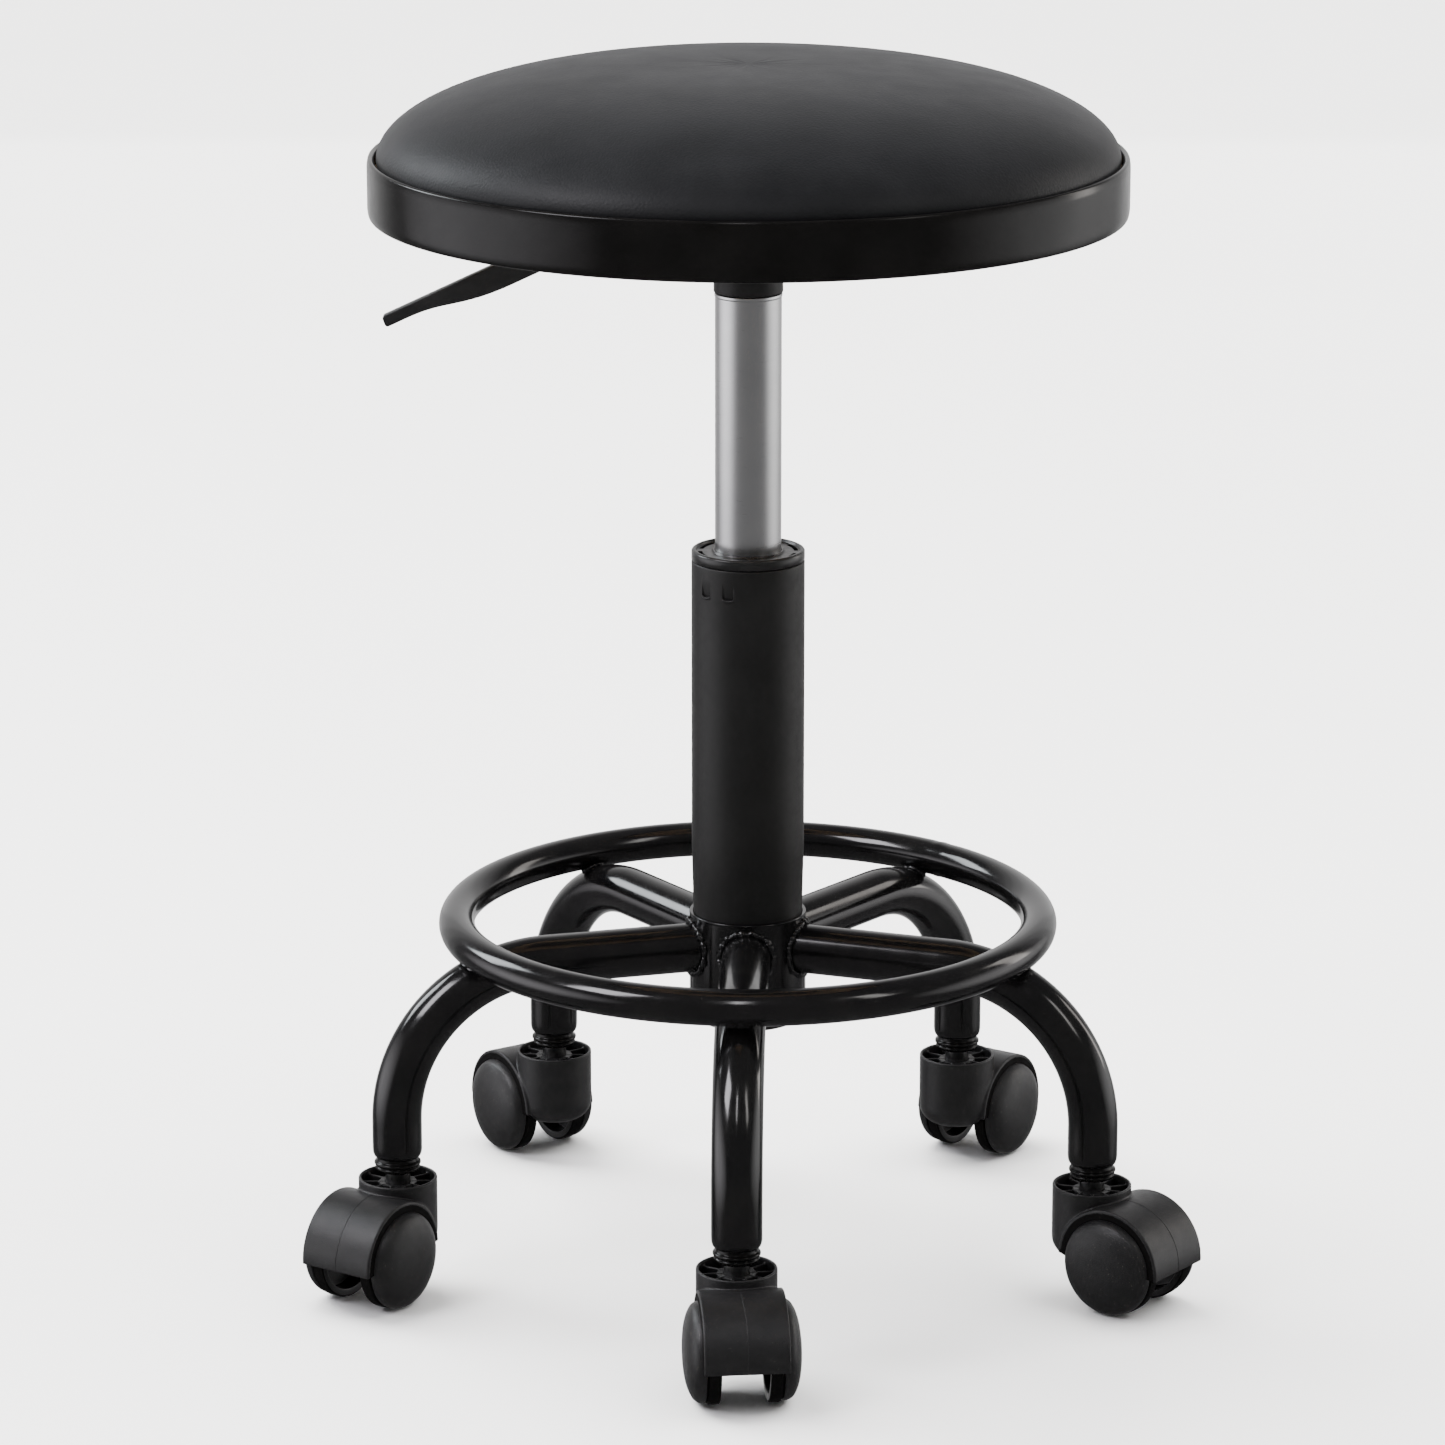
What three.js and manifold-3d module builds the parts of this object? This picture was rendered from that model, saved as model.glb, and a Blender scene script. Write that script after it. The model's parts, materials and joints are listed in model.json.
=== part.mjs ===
// Height-adjustable swivel stool: padded round seat on a gas spring, a foot ring on five bent tube
// legs, and a twin-wheel caster under each leg. Millimetres, +Z up, the floor at z = 0.
import * as THREE from "three";
import { mergeVertices } from "three/addons/utils/BufferGeometryUtils.js";
import Module from "manifold-3d";

const wasm = await Module();
wasm.setup();

// ---- clearances that every fit shares -----------------------------------------------------------
const SEAT_GAP = 0.3; // between a piece and what it rests on
const RUN_GAP = 0.12; // radial, between a shaft and the hole that it turns or slides in
const WHEEL_SIDE_GAP = 0.8; // between a wheel and the housing beside it
const FACET_SETTLE = 0.45; // faceted tubes lie this much closer than round ones where they cross

// ---- base: legs, hub and foot ring --------------------------------------------------------------
const LEG_NAMES = ["front", "right", "back_right", "back_left", "left"];
const FIRST_LEG_ANGLE = 268.4; // degrees from +X, anticlockwise seen from above
const LEG_CIRCLE_R = 162;
const LEG_TUBE_R = 11;
const LEG_WALL = 1.5;
const LEG_ARM_Z = 146.5; // axis of the level stretch
const LEG_BEND_R = 68;
const LEG_END_Z = 61.5;
const RING_R = 130; // foot ring, to the middle of its tube
const RING_TUBE_R = 8;
const HUB_OVER_COLUMN = 1; // hub radius over the column's
const HUB_BOTTOM_Z = 116;
const HUB_TOP_Z = 162;

// ---- column, a tube with a taper that wedges in the hub -------------------------------------------
const COLUMN_R = 25;
const HUB_R = COLUMN_R + HUB_OVER_COLUMN;
const COLUMN_WALL = 2;
const COLUMN_TOP_Z = 323;
const COLUMN_DROP = 4; // how far the column passes under the hub
const COLUMN_FLOOR = 3;
const TAPER_ABOVE_HUB = 30; // the taper starts this far over the hub
const TAPER = 1 / 40; // radius lost per millimetre
const CAP_HEIGHT = 4.9;
const CAP_LIP_WIDTH = 2.6;
const CAP_LIP_BEVEL = 0.6;
const CAP_EDGE_CHAMFER = 1;
const CAP_FACE_SINK = 1.2;
const CAP_BORE_LIP = 1.2;
const CAP_BORE_BEVEL = 0.8;
const CAP_SLOTS = 8;
const CAP_SLOT_INSET = 0.4; // slots from the lip
const CAP_SLOT_WIDTH = 1.8;
const CAP_SLOT_DEPTH = 2;
const CAP_SLOT_SHARE = 0.7; // of the pitch that a slot takes
const BUSH_LENGTH = 70;

// ---- gas spring -----------------------------------------------------------------------------------
const TUBE_R = 14.6;
const TUBE_WALL = 1.6;
const TUBE_BOTTOM_Z = 242;
const COLLAR_BOTTOM_Z = 442.6;
const COLLAR_R = 15.2;
const COLLAR_OVER_PAN = 5; // collar over the pan's underside
const NECK_OVER_COLLAR = 1;
const CROWN_THICKNESS = 4; // closed top of the tube, below the collar
const NECK_R = 13.2;
const ROD_R = 5;
const ROD_NECK_R = 4;
const ROD_TAIL = 4; // rod below the column's floor, with the clip round it
const PISTON_HEIGHT = 10;
const PISTON_OVER_TUBE_END = 24; // piston over the tube's lower end
const ROD_GUIDE_HEIGHT = 10;
const BEARING_R = 11;
const BEARING_HEIGHT = 5;
const BUFFER_HEIGHT = 8;
const CLIP_HEIGHT = 2;
const CLIP_R = 7.6;
const BUTTON_R = 4;
const BUTTON_DEPTH = 12; // button below the neck's top
const BUTTON_PROUD = 3.7;
const BUTTON_TRAVEL = 3.6;

// ---- seat -----------------------------------------------------------------------------------------
const RIM_R = 165;
const RIM_WALL = 3.2;
const RIM_BOTTOM_Z = 477.8;
const RIM_TOP_Z = 503.4;
const SHELF_WIDTH = 12; // ledge inside the rim, under the board
const SHELF_THICKNESS = 2.8;
const BOARD_BOTTOM_Z = 486;
const BOARD_THICKNESS = 12;
const CUSHION_GAP = 2.5; // between the cushion and the rim
const CUSHION_TOP_Z = 542.3;
const CUSHION_SIDE = 3.7; // from its underside to its widest line
const CUSHION_TUCK = 2; // how far its underside is drawn in
const CUSHION_STEPS = 8;
const CUSHION_POWER_R = 2.7; // powers of the dome's outline
const CUSHION_POWER_Z = 1.95;
const PLATE_LENGTH = 150;
const PLATE_WIDTH = 130;
const PLATE_THICKNESS = 2.5;
const PAN_LENGTH = 90;
const PAN_WIDTH = 70;
const PAN_BOTTOM_Z = 455;
const PAN_WALL = 2;
const LEVER_SLOT_SIDE = 1.5; // room beside the lever in the pan's wall
const LEVER_SLOT_END = 2; // room over and under it
const BOLT_X = 62;
const BOLT_Y = 52;
const BOLT_R = 3;
const BOLT_HEAD_R = 5;
const BOLT_HEAD_HEIGHT = 3;
const BOLT_LENGTH = 11; // of its hole in the board
const BOLT_END_GAP = 1;

// ---- lever ----------------------------------------------------------------------------------------
const LEVER_THICKNESS = 6;
const LEVER_SLOPE = 25; // degrees that the outer arm falls
const LEVER_REACH = 160; // tip to the column's axis
const LEVER_TIP_Z = 431.6; // top edge of the tip
const LEVER_TIP_HEIGHT = 5.2;
const LEVER_TIP_CORNER = 1.5;
const LEVER_BLADE_HEIGHT = 11.1;
const LEVER_TIP_LENGTH = 19; // slim stretch at the tip
const LEVER_WIDENING = 26; // length over which it grows to the blade's height
const LEVER_ELBOW_X = 76; // where the arm turns level
const LEVER_PIN_X = 38;
const LEVER_PIN_R = 2.5;
const LEVER_PIN_PROUD = 1.5;
const LEVER_BOSS_R = 6;
const LEVER_NOSE = 5; // past the button's axis
const LEVER_NOSE_HEIGHT = 6;
const LEVER_NECK_LENGTH = 9.6; // from the pin to where the blade starts
const LEVER_NECK_DROP = 1;
const LEVER_ELBOW_CUT = 2.22; // the lower edge turns this much sooner

// ---- casters --------------------------------------------------------------------------------------
const CASTER_HEADINGS = [276, 322.5, 57, 123.3, 236.3]; // degrees, from the stem to the wheels
const TRAIL = 20.7;
const WHEEL_R = 22.2;
const WHEEL_INNER_Y = 10.4;
const WHEEL_OUTER_Y = 25.2;
const TOWER_R = 17.5;
const TOWER_TOP_Z = 52;
const TOWER_BOTTOM_Z = 18.7;
const TOWER_FILLET = 9;
const TOWER_WALL = 1.3;
const POCKET_DEPTH = 8;
const RIB_COUNT = 6;
const RIB_THICKNESS = 1;
const BOSS_R = 8.5;
const BOSS_DROP = 2; // boss below the tower's top
const HOOD_WALL = 1.4;
const HOOD_OVER_WHEEL = 2.4; // radial, between the wheel and the hood
const HOOD_R = WHEEL_R + HOOD_OVER_WHEEL + HOOD_WALL;
const HOOD_HALF_WIDTH = 18.3;
const HOOD_END_ANGLE = 3; // degrees below level where the hood ends
const WEB_HALF = 2;
const STEM_R = 5.5;
const STEM_BOTTOM_Z = 24.5;
const STEM_IN_LEG = 15;
const SOCKET_FLANGE_R = 10.35;
const SOCKET_FLANGE_HEIGHT = 5.9;
const SOCKET_WAIST = 0.8; // how far its rings stand out
const SOCKET_LOWER_RING = 0.4;
const SOCKET_IN_LEG = 18;
const AXLE_R = 2.5;
const AXLE_BOSS_R = 5.5;
const WHEEL_BOSS_R = 6.5;
const WHEEL_SKIN = 3.6;
const TREAD_WIDTH = 5;
const WHEEL_DOME = [[0.95, 5], [0.78, 2.6], [0.45, 0.5]]; // share of the radius, drop from the middle
const AXLE_HALF = 20;

// ---- facet counts -----------------------------------------------------------------------------------
const FINE = 24;
const SMALL = 12;
const WHEEL_SIDES = 16;
const SEAT_SIDES = 36;
const TUBE_SIDES = 12;
const RING_SIDES = 10;
const LEG_STEPS = 13;

// ---- materials ----------------------------------------------------------------------------------
const material = (color, roughness, metalness) =>
  new THREE.MeshStandardMaterial({ color, roughness, metalness });

const leatherette = () => material(0x17181b, 0.62, 0);
const glossPlastic = () => material(0x1a1a1b, 0.25, 0);
const mattePlastic = () => material(0x232426, 0.6, 0);
const blackPaint = () => material(0x161617, 0.28, 0.3);
const satinPaint = () => material(0x1d1d1e, 0.5, 0.3);
const brushedSteel = () => material(0xa9abac, 0.35, 1);
const zincSteel = () => material(0x8d8f92, 0.45, 1);
const plywood = () => material(0xb08a5b, 0.8, 0);
const blackRubber = () => material(0x141414, 0.9, 0);

// ---- solids -----------------------------------------------------------------------------------------
const radians = THREE.MathUtils.degToRad;

// The outer radius of a regular polygon whose flats are `r` from its centre.
const aroundFlats = (r, sides) => r / Math.cos(Math.PI / sides);

// The radius of a faceted hole that a shaft of radius `r` turns in.
const runningHole = (r, sides) => aroundFlats(r + RUN_GAP, sides);

function solid(geometry) {
  const bare = geometry.clone();
  bare.deleteAttribute("normal");
  bare.deleteAttribute("uv");
  const merged = mergeVertices(bare, 1e-4);
  return new wasm.Manifold(
    new wasm.Mesh({
      numProp: 3,
      vertProperties: merged.attributes.position.array,
      triVerts: new Uint32Array(merged.index.array),
    }),
  );
}

function join(...geometries) {
  return toGeometry(geometries.map(solid).reduce((all, next) => all.add(next)));
}

function cut(geometry, ...tools) {
  return toGeometry(tools.map(solid).reduce((rest, tool) => rest.subtract(tool), solid(geometry)));
}

function toGeometry(manifold) {
  const mesh = manifold.getMesh();
  const geometry = new THREE.BufferGeometry();
  geometry.setAttribute("position", new THREE.BufferAttribute(mesh.vertProperties, 3));
  geometry.setIndex(new THREE.BufferAttribute(mesh.triVerts, 1));
  return geometry;
}

// A solid turned about +Z. `profile` lists [radius, height] from the bottom outwards and up: it
// starts and ends on the axis, or closes on itself.
function turned(profile, sides, phase = 0) {
  const points = profile.map(([r, z]) => new THREE.Vector2(r, z));
  return new THREE.LatheGeometry(points, sides, phase).rotateX(Math.PI / 2);
}

function rod(r, z0, z1, sides, phase = 0) {
  return turned([[0, z0], [r, z0], [r, z1], [0, z1]], sides, phase);
}

function sleeve(inner, outer, z0, z1, sides) {
  return turned([[inner, z0], [outer, z0], [outer, z1], [inner, z1], [inner, z0]], sides);
}

function box(x0, x1, y0, y1, z0, z1) {
  const geometry = new THREE.BoxGeometry(x1 - x0, y1 - y0, z1 - z0);
  return geometry.translate((x0 + x1) / 2, (y0 + y1) / 2, (z0 + z1) / 2);
}

// A cylinder lying along Y between y0 and y1, with a flat facet at its lowest point.
function crossRod(r, x, z, y0, y1, sides) {
  const lying = rod(r, y0, y1, sides, Math.PI / sides).rotateX(-Math.PI / 2);
  return lying.translate(x, 0, z);
}

function mesh(name, geometry, finish) {
  const part = new THREE.Mesh(geometry, finish);
  part.name = name;
  geometry.computeVertexNormals();
  return part;
}

// ---- base -------------------------------------------------------------------------------------------
const taperTopZ = HUB_TOP_Z + TAPER_ABOVE_HUB;
const columnBottomZ = HUB_BOTTOM_Z - COLUMN_DROP;
const columnRadiusAt = (z) => COLUMN_R - Math.max(0, taperTopZ - z) * TAPER;
const legBendX = LEG_CIRCLE_R - LEG_BEND_R;
const legBendZ = LEG_ARM_Z - LEG_BEND_R;
const legBoreR = LEG_TUBE_R - LEG_WALL;

// The ring lies on the outside of the legs' bends.
const ringZ = legBendZ + Math.sqrt(
  (LEG_BEND_R + LEG_TUBE_R + RING_TUBE_R + SEAT_GAP - FACET_SETTLE) ** 2 -
  (RING_R - legBendX) ** 2,
);

function hubTube() {
  const bore = (z) => columnRadiusAt(z) + SEAT_GAP / 2;
  return turned([
    [bore(HUB_BOTTOM_Z), HUB_BOTTOM_Z],
    [HUB_R, HUB_BOTTOM_Z],
    [HUB_R, HUB_TOP_Z],
    [bore(HUB_TOP_Z), HUB_TOP_Z],
    [bore(HUB_BOTTOM_Z), HUB_BOTTOM_Z],
  ], FINE);
}

// The leg's middle line in its own plane: level from the hub, round the bend, and down.
function legLine() {
  const line = new THREE.CurvePath();
  const bend = new LegBend();
  line.add(new THREE.LineCurve3(new THREE.Vector3(0, 0, LEG_ARM_Z), bend.getPoint(0)));
  line.add(bend);
  line.add(new THREE.LineCurve3(bend.getPoint(1), new THREE.Vector3(LEG_CIRCLE_R, 0, LEG_END_Z)));
  return line;
}

class LegBend extends THREE.Curve {
  getPoint(t, target = new THREE.Vector3()) {
    const turn = (1 - t) * Math.PI / 2;
    return target.set(
      legBendX + LEG_BEND_R * Math.cos(turn),
      0,
      legBendZ + LEG_BEND_R * Math.sin(turn),
    );
  }
}

function circleShape(r, sides) {
  const points = Array.from({ length: sides }, (_, i) => {
    const a = (2 * Math.PI * i) / sides;
    return new THREE.Vector2(r * Math.cos(a), r * Math.sin(a));
  });
  return new THREE.Shape(points);
}

function legTube() {
  const section = circleShape(LEG_TUBE_R, TUBE_SIDES);
  section.holes.push(circleShape(legBoreR, TUBE_SIDES));
  const tube = new THREE.ExtrudeGeometry(section, { steps: LEG_STEPS, extrudePath: legLine() });
  return cut(tube, rod(aroundFlats(HUB_R + SEAT_GAP / 2, FINE), 0, HUB_TOP_Z * 2, FINE));
}

function footRing() {
  return new THREE.TorusGeometry(RING_R, RING_TUBE_R, RING_SIDES, SEAT_SIDES)
    .translate(0, 0, ringZ);
}

function columnTube() {
  const inside = (z) => columnRadiusAt(z) - COLUMN_WALL;
  const floorZ = columnBottomZ + COLUMN_FLOOR;
  const hole = runningHole(ROD_NECK_R, SMALL);
  return turned([
    [hole, columnBottomZ],
    [columnRadiusAt(columnBottomZ), columnBottomZ],
    [COLUMN_R, taperTopZ],
    [COLUMN_R, COLUMN_TOP_Z],
    [inside(COLUMN_TOP_Z), COLUMN_TOP_Z],
    [inside(taperTopZ), taperTopZ],
    [inside(floorZ), floorZ],
    [hole, floorZ],
    [hole, columnBottomZ],
  ], FINE);
}

// The bush that the gas spring slides in, with the cap over the column's mouth.
function guideBush() {
  const bore = runningHole(TUBE_R, FINE);
  const outer = COLUMN_R - COLUMN_WALL - SEAT_GAP / 2;
  const capBottom = COLUMN_TOP_Z + SEAT_GAP;
  const capTop = COLUMN_TOP_Z + CAP_HEIGHT;
  const faceZ = capTop - CAP_FACE_SINK;
  const lipInner = COLUMN_R - CAP_LIP_WIDTH;
  const body = turned([
    [bore, COLUMN_TOP_Z - BUSH_LENGTH],
    [outer, COLUMN_TOP_Z - BUSH_LENGTH],
    [outer, capBottom],
    [COLUMN_R, capBottom],
    [COLUMN_R, capTop - CAP_EDGE_CHAMFER],
    [COLUMN_R - CAP_EDGE_CHAMFER, capTop],
    [lipInner + CAP_LIP_BEVEL, capTop],
    [lipInner, faceZ],
    [bore + CAP_BORE_LIP + CAP_BORE_BEVEL, faceZ],
    [bore + CAP_BORE_LIP, capTop],
    [bore, capTop],
    [bore, COLUMN_TOP_Z - BUSH_LENGTH],
  ], FINE);
  return cut(body, ...capSlots(lipInner, faceZ));
}

// Curved slots in the cap's face, just inside its lip.
function capSlots(lipInner, faceZ) {
  const outer = lipInner - CAP_SLOT_INSET;
  const inner = outer - CAP_SLOT_WIDTH;
  return Array.from({ length: CAP_SLOTS }, (_, i) => {
    const pitch = (2 * Math.PI) / CAP_SLOTS;
    const slot = new THREE.Shape();
    slot.absarc(0, 0, outer, 0, pitch * CAP_SLOT_SHARE, false);
    slot.absarc(0, 0, inner, pitch * CAP_SLOT_SHARE, 0, true);
    const solidSlot = new THREE.ExtrudeGeometry(slot, {
      depth: CAP_SLOT_DEPTH * 2,
      bevelEnabled: false,
      curveSegments: 2,
    });
    return solidSlot.rotateZ(i * pitch).translate(0, 0, faceZ - CAP_SLOT_DEPTH);
  });
}

// ---- gas spring --------------------------------------------------------------------------------
const floorTopZ = columnBottomZ + COLUMN_FLOOR;
const bearingTopZ = floorTopZ + SEAT_GAP + BEARING_HEIGHT;
const pistonBottomZ = TUBE_BOTTOM_Z + PISTON_OVER_TUBE_END;
const socketTopZ = PAN_BOTTOM_Z + COLLAR_OVER_PAN;
const neckTopZ = socketTopZ + NECK_OVER_COLLAR;

// Rod and piston, standing on the thrust bearing, with a neck down through the column's floor.
function pistonRod() {
  const shoulderZ = bearingTopZ + SEAT_GAP;
  const pistonR = TUBE_R - TUBE_WALL - RUN_GAP;
  return turned([
    [0, columnBottomZ - ROD_TAIL],
    [ROD_NECK_R, columnBottomZ - ROD_TAIL],
    [ROD_NECK_R, shoulderZ],
    [ROD_R, shoulderZ],
    [ROD_R, pistonBottomZ],
    [pistonR, pistonBottomZ],
    [pistonR, pistonBottomZ + PISTON_HEIGHT],
    [0, pistonBottomZ + PISTON_HEIGHT],
  ], FINE);
}

function thrustBearing() {
  const z = floorTopZ + SEAT_GAP;
  return sleeve(runningHole(ROD_NECK_R, SMALL), BEARING_R, z, z + BEARING_HEIGHT, SMALL);
}

function rubberBuffer() {
  const z = bearingTopZ + SEAT_GAP;
  return sleeve(runningHole(ROD_R, SMALL), BEARING_R, z, z + BUFFER_HEIGHT, SMALL);
}

function retainingClip() {
  const top = columnBottomZ - SEAT_GAP;
  return sleeve(runningHole(ROD_NECK_R, SMALL), CLIP_R, top - CLIP_HEIGHT, top, SMALL);
}

function innerTube() {
  const bore = TUBE_R - TUBE_WALL;
  const crownZ = COLLAR_BOTTOM_Z - CROWN_THICKNESS; // underside of the closed top
  const buttonHole = runningHole(BUTTON_R, FINE);
  const holeBottom = neckTopZ - BUTTON_DEPTH - BUTTON_TRAVEL - SEAT_GAP;
  return turned([
    [0, crownZ],
    [bore, crownZ],
    [bore, TUBE_BOTTOM_Z],
    [TUBE_R, TUBE_BOTTOM_Z],
    [TUBE_R, COLLAR_BOTTOM_Z - SEAT_GAP],
    [NECK_R, COLLAR_BOTTOM_Z - SEAT_GAP],
    [NECK_R, neckTopZ],
    [buttonHole, neckTopZ],
    [buttonHole, holeBottom],
    [0, holeBottom],
  ], FINE);
}

function rodGuide() {
  const outer = TUBE_R - TUBE_WALL - SEAT_GAP / 2;
  const top = TUBE_BOTTOM_Z + ROD_GUIDE_HEIGHT;
  return sleeve(runningHole(ROD_R, FINE), outer, TUBE_BOTTOM_Z, top, FINE);
}

// The socket that the spring's neck wedges in, through the pan's floor.
function tubeCollar() {
  return sleeve(NECK_R + SEAT_GAP / 2, COLLAR_R, COLLAR_BOTTOM_Z, socketTopZ, FINE);
}

function releaseButton() {
  return rod(BUTTON_R, neckTopZ - BUTTON_DEPTH, neckTopZ + BUTTON_PROUD, SMALL);
}

// ---- seat ---------------------------------------------------------------------------------------
const boardTopZ = BOARD_BOTTOM_Z + BOARD_THICKNESS;
const plateTopZ = BOARD_BOTTOM_Z - SEAT_GAP;
const plateBottomZ = plateTopZ - PLATE_THICKNESS;
const rimInnerR = RIM_R - RIM_WALL;
const buttonTopZ = neckTopZ + BUTTON_PROUD;
const leverPinZ = buttonTopZ + SEAT_GAP + LEVER_NOSE_HEIGHT / 2;

function seatCushion() {
  const r = rimInnerR - CUSHION_GAP;
  const bottom = boardTopZ + SEAT_GAP;
  const edge = bottom + CUSHION_SIDE;
  const steps = CUSHION_STEPS;
  const dome = Array.from({ length: steps + 1 }, (_, i) => {
    const radius = r * Math.cos((i / steps) * (Math.PI / 2));
    const rise = (1 - (radius / r) ** CUSHION_POWER_R) ** (1 / CUSHION_POWER_Z);
    return [i === steps ? 0 : radius, edge + (CUSHION_TOP_Z - edge) * rise];
  });
  return turned([[0, bottom], [r - CUSHION_TUCK, bottom], ...dome], SEAT_SIDES);
}

function seatBoard() {
  const holes = boltPlaces().map(([x, y]) =>
    rod(BOLT_R + SEAT_GAP / 2, BOARD_BOTTOM_Z - 1, BOARD_BOTTOM_Z + BOLT_LENGTH, SMALL)
      .translate(x, y, 0));
  return cut(rod(rimInnerR - SEAT_GAP, BOARD_BOTTOM_Z, boardTopZ, SEAT_SIDES), ...holes);
}

function seatRim() {
  const shelfTop = BOARD_BOTTOM_Z - SEAT_GAP;
  const shelfBottom = shelfTop - SHELF_THICKNESS;
  const round = RIM_WALL / 2;
  return turned([
    [rimInnerR - SHELF_WIDTH, shelfBottom],
    [rimInnerR, shelfBottom],
    [rimInnerR, RIM_BOTTOM_Z],
    [RIM_R - round, RIM_BOTTOM_Z],
    [RIM_R, RIM_BOTTOM_Z + round],
    [RIM_R, RIM_TOP_Z - round],
    [RIM_R - round, RIM_TOP_Z],
    [rimInnerR, RIM_TOP_Z - round / 2],
    [rimInnerR, shelfTop],
    [rimInnerR - SHELF_WIDTH, shelfTop],
    [rimInnerR - SHELF_WIDTH, shelfBottom],
  ], SEAT_SIDES);
}

function boltPlaces() {
  return [[1, 1], [-1, 1], [-1, -1], [1, -1]].map(([sx, sy]) => [sx * BOLT_X, sy * BOLT_Y]);
}

function mountBolt() {
  const headTop = plateBottomZ - SEAT_GAP;
  return turned([
    [0, headTop - BOLT_HEAD_HEIGHT],
    [BOLT_HEAD_R, headTop - BOLT_HEAD_HEIGHT],
    [BOLT_HEAD_R, headTop],
    [BOLT_R, headTop],
    [BOLT_R, BOARD_BOTTOM_Z + BOLT_LENGTH - BOLT_END_GAP],
    [0, BOARD_BOTTOM_Z + BOLT_LENGTH - BOLT_END_GAP],
  ], TUBE_SIDES);
}

// Flange plate with a sunk pan that holds the spring's socket and the lever's pivot.
function mountPlate() {
  const hx = PAN_LENGTH / 2;
  const hy = PAN_WIDTH / 2;
  const flange = box(
    -PLATE_LENGTH / 2, PLATE_LENGTH / 2, -PLATE_WIDTH / 2, PLATE_WIDTH / 2, plateBottomZ, plateTopZ,
  );
  const pan = box(-hx, hx, -hy, hy, PAN_BOTTOM_Z, plateTopZ - 1);
  const inside = box(
    -hx + PAN_WALL, hx - PAN_WALL, -hy + PAN_WALL, hy - PAN_WALL,
    PAN_BOTTOM_Z + PAN_WALL, plateTopZ + 1,
  );
  const halfSlot = LEVER_THICKNESS / 2 + LEVER_SLOT_SIDE;
  const slotBottom = leverPinZ - LEVER_BOSS_R - LEVER_SLOT_END;
  const slotTop = plateBottomZ - LEVER_SLOT_END;
  const slot = box(-hx - 1, -hx + PAN_WALL + 1, -halfSlot, halfSlot, slotBottom, slotTop);
  const neckHole = rod(COLLAR_R + SEAT_GAP / 2, PAN_BOTTOM_Z - 1, PAN_BOTTOM_Z + PAN_WALL + 1, FINE);
  const pinHole = crossRod(
    LEVER_PIN_R + SEAT_GAP / 2, -LEVER_PIN_X, leverPinZ, -hy - 1, hy + 1, SMALL,
  );
  const boltHoles = boltPlaces().map(([x, y]) =>
    rod(BOLT_R + SEAT_GAP / 2, plateBottomZ - 1, plateTopZ + 1, SMALL).translate(x, y, 0));
  return cut(join(flange, pan), inside, slot, neckHole, pinHole, ...boltHoles);
}

function leverPin() {
  const end = PAN_WIDTH / 2 + LEVER_PIN_PROUD;
  return crossRod(LEVER_PIN_R, -LEVER_PIN_X, leverPinZ, -end, end, SMALL);
}

// A flat bar on edge: slim tip, deeper blade, an elbow, and a nose over the valve button.
function releaseLever() {
  const along = new THREE.Vector2(Math.cos(radians(LEVER_SLOPE)), Math.sin(radians(LEVER_SLOPE)));
  const tip = new THREE.Vector2(-LEVER_REACH, LEVER_TIP_Z);
  const edgePoint = (u, depth) =>
    new THREE.Vector2(tip.x + along.x * u + along.y * depth, tip.y + along.y * u - along.x * depth);
  const topAtElbow = (LEVER_REACH - LEVER_ELBOW_X) / along.x;
  const lowAtElbow = topAtElbow - LEVER_ELBOW_CUT;
  const noseBottom = leverPinZ - LEVER_NOSE_HEIGHT / 2;
  const noseTop = leverPinZ + LEVER_NOSE_HEIGHT / 2;
  const outline = new THREE.Shape([
    edgePoint(LEVER_TIP_CORNER, 0),
    edgePoint(0, LEVER_TIP_CORNER),
    edgePoint(0, LEVER_TIP_HEIGHT - LEVER_TIP_CORNER),
    edgePoint(LEVER_TIP_CORNER, LEVER_TIP_HEIGHT),
    edgePoint(LEVER_TIP_LENGTH, LEVER_TIP_HEIGHT),
    edgePoint(LEVER_TIP_LENGTH + LEVER_WIDENING, LEVER_BLADE_HEIGHT),
    edgePoint(lowAtElbow, LEVER_BLADE_HEIGHT),
    new THREE.Vector2(-LEVER_PIN_X - LEVER_NECK_LENGTH, noseBottom - LEVER_NECK_DROP),
    new THREE.Vector2(-LEVER_PIN_X, leverPinZ - LEVER_BOSS_R),
    new THREE.Vector2(-LEVER_PIN_X + LEVER_BOSS_R, noseBottom),
    new THREE.Vector2(LEVER_NOSE, noseBottom),
    new THREE.Vector2(LEVER_NOSE, noseTop),
    new THREE.Vector2(-LEVER_PIN_X + LEVER_BOSS_R, noseTop),
    new THREE.Vector2(-LEVER_PIN_X, leverPinZ + LEVER_BOSS_R),
    new THREE.Vector2(-LEVER_ELBOW_X, tip.y + along.y * topAtElbow),
  ]);
  const bar = new THREE.ExtrudeGeometry(outline, {
    depth: LEVER_THICKNESS,
    bevelEnabled: false,
  });
  bar.rotateX(Math.PI / 2).translate(0, LEVER_THICKNESS / 2, 0);
  const hole = runningHole(LEVER_PIN_R, SMALL);
  return cut(bar, crossRod(hole, -LEVER_PIN_X, leverPinZ, -LEVER_THICKNESS, LEVER_THICKNESS, SMALL));
}

// ---- casters: x is the way that the wheels trail, y is the axle -------------------------------------
const socketBottomZ = LEG_END_Z - SEAT_GAP - SOCKET_FLANGE_HEIGHT;
const hoodInnerR = HOOD_R - HOOD_WALL;
const pocketFloorZ = TOWER_TOP_Z - POCKET_DEPTH;
const bossTopZ = TOWER_TOP_Z - BOSS_DROP;

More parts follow.
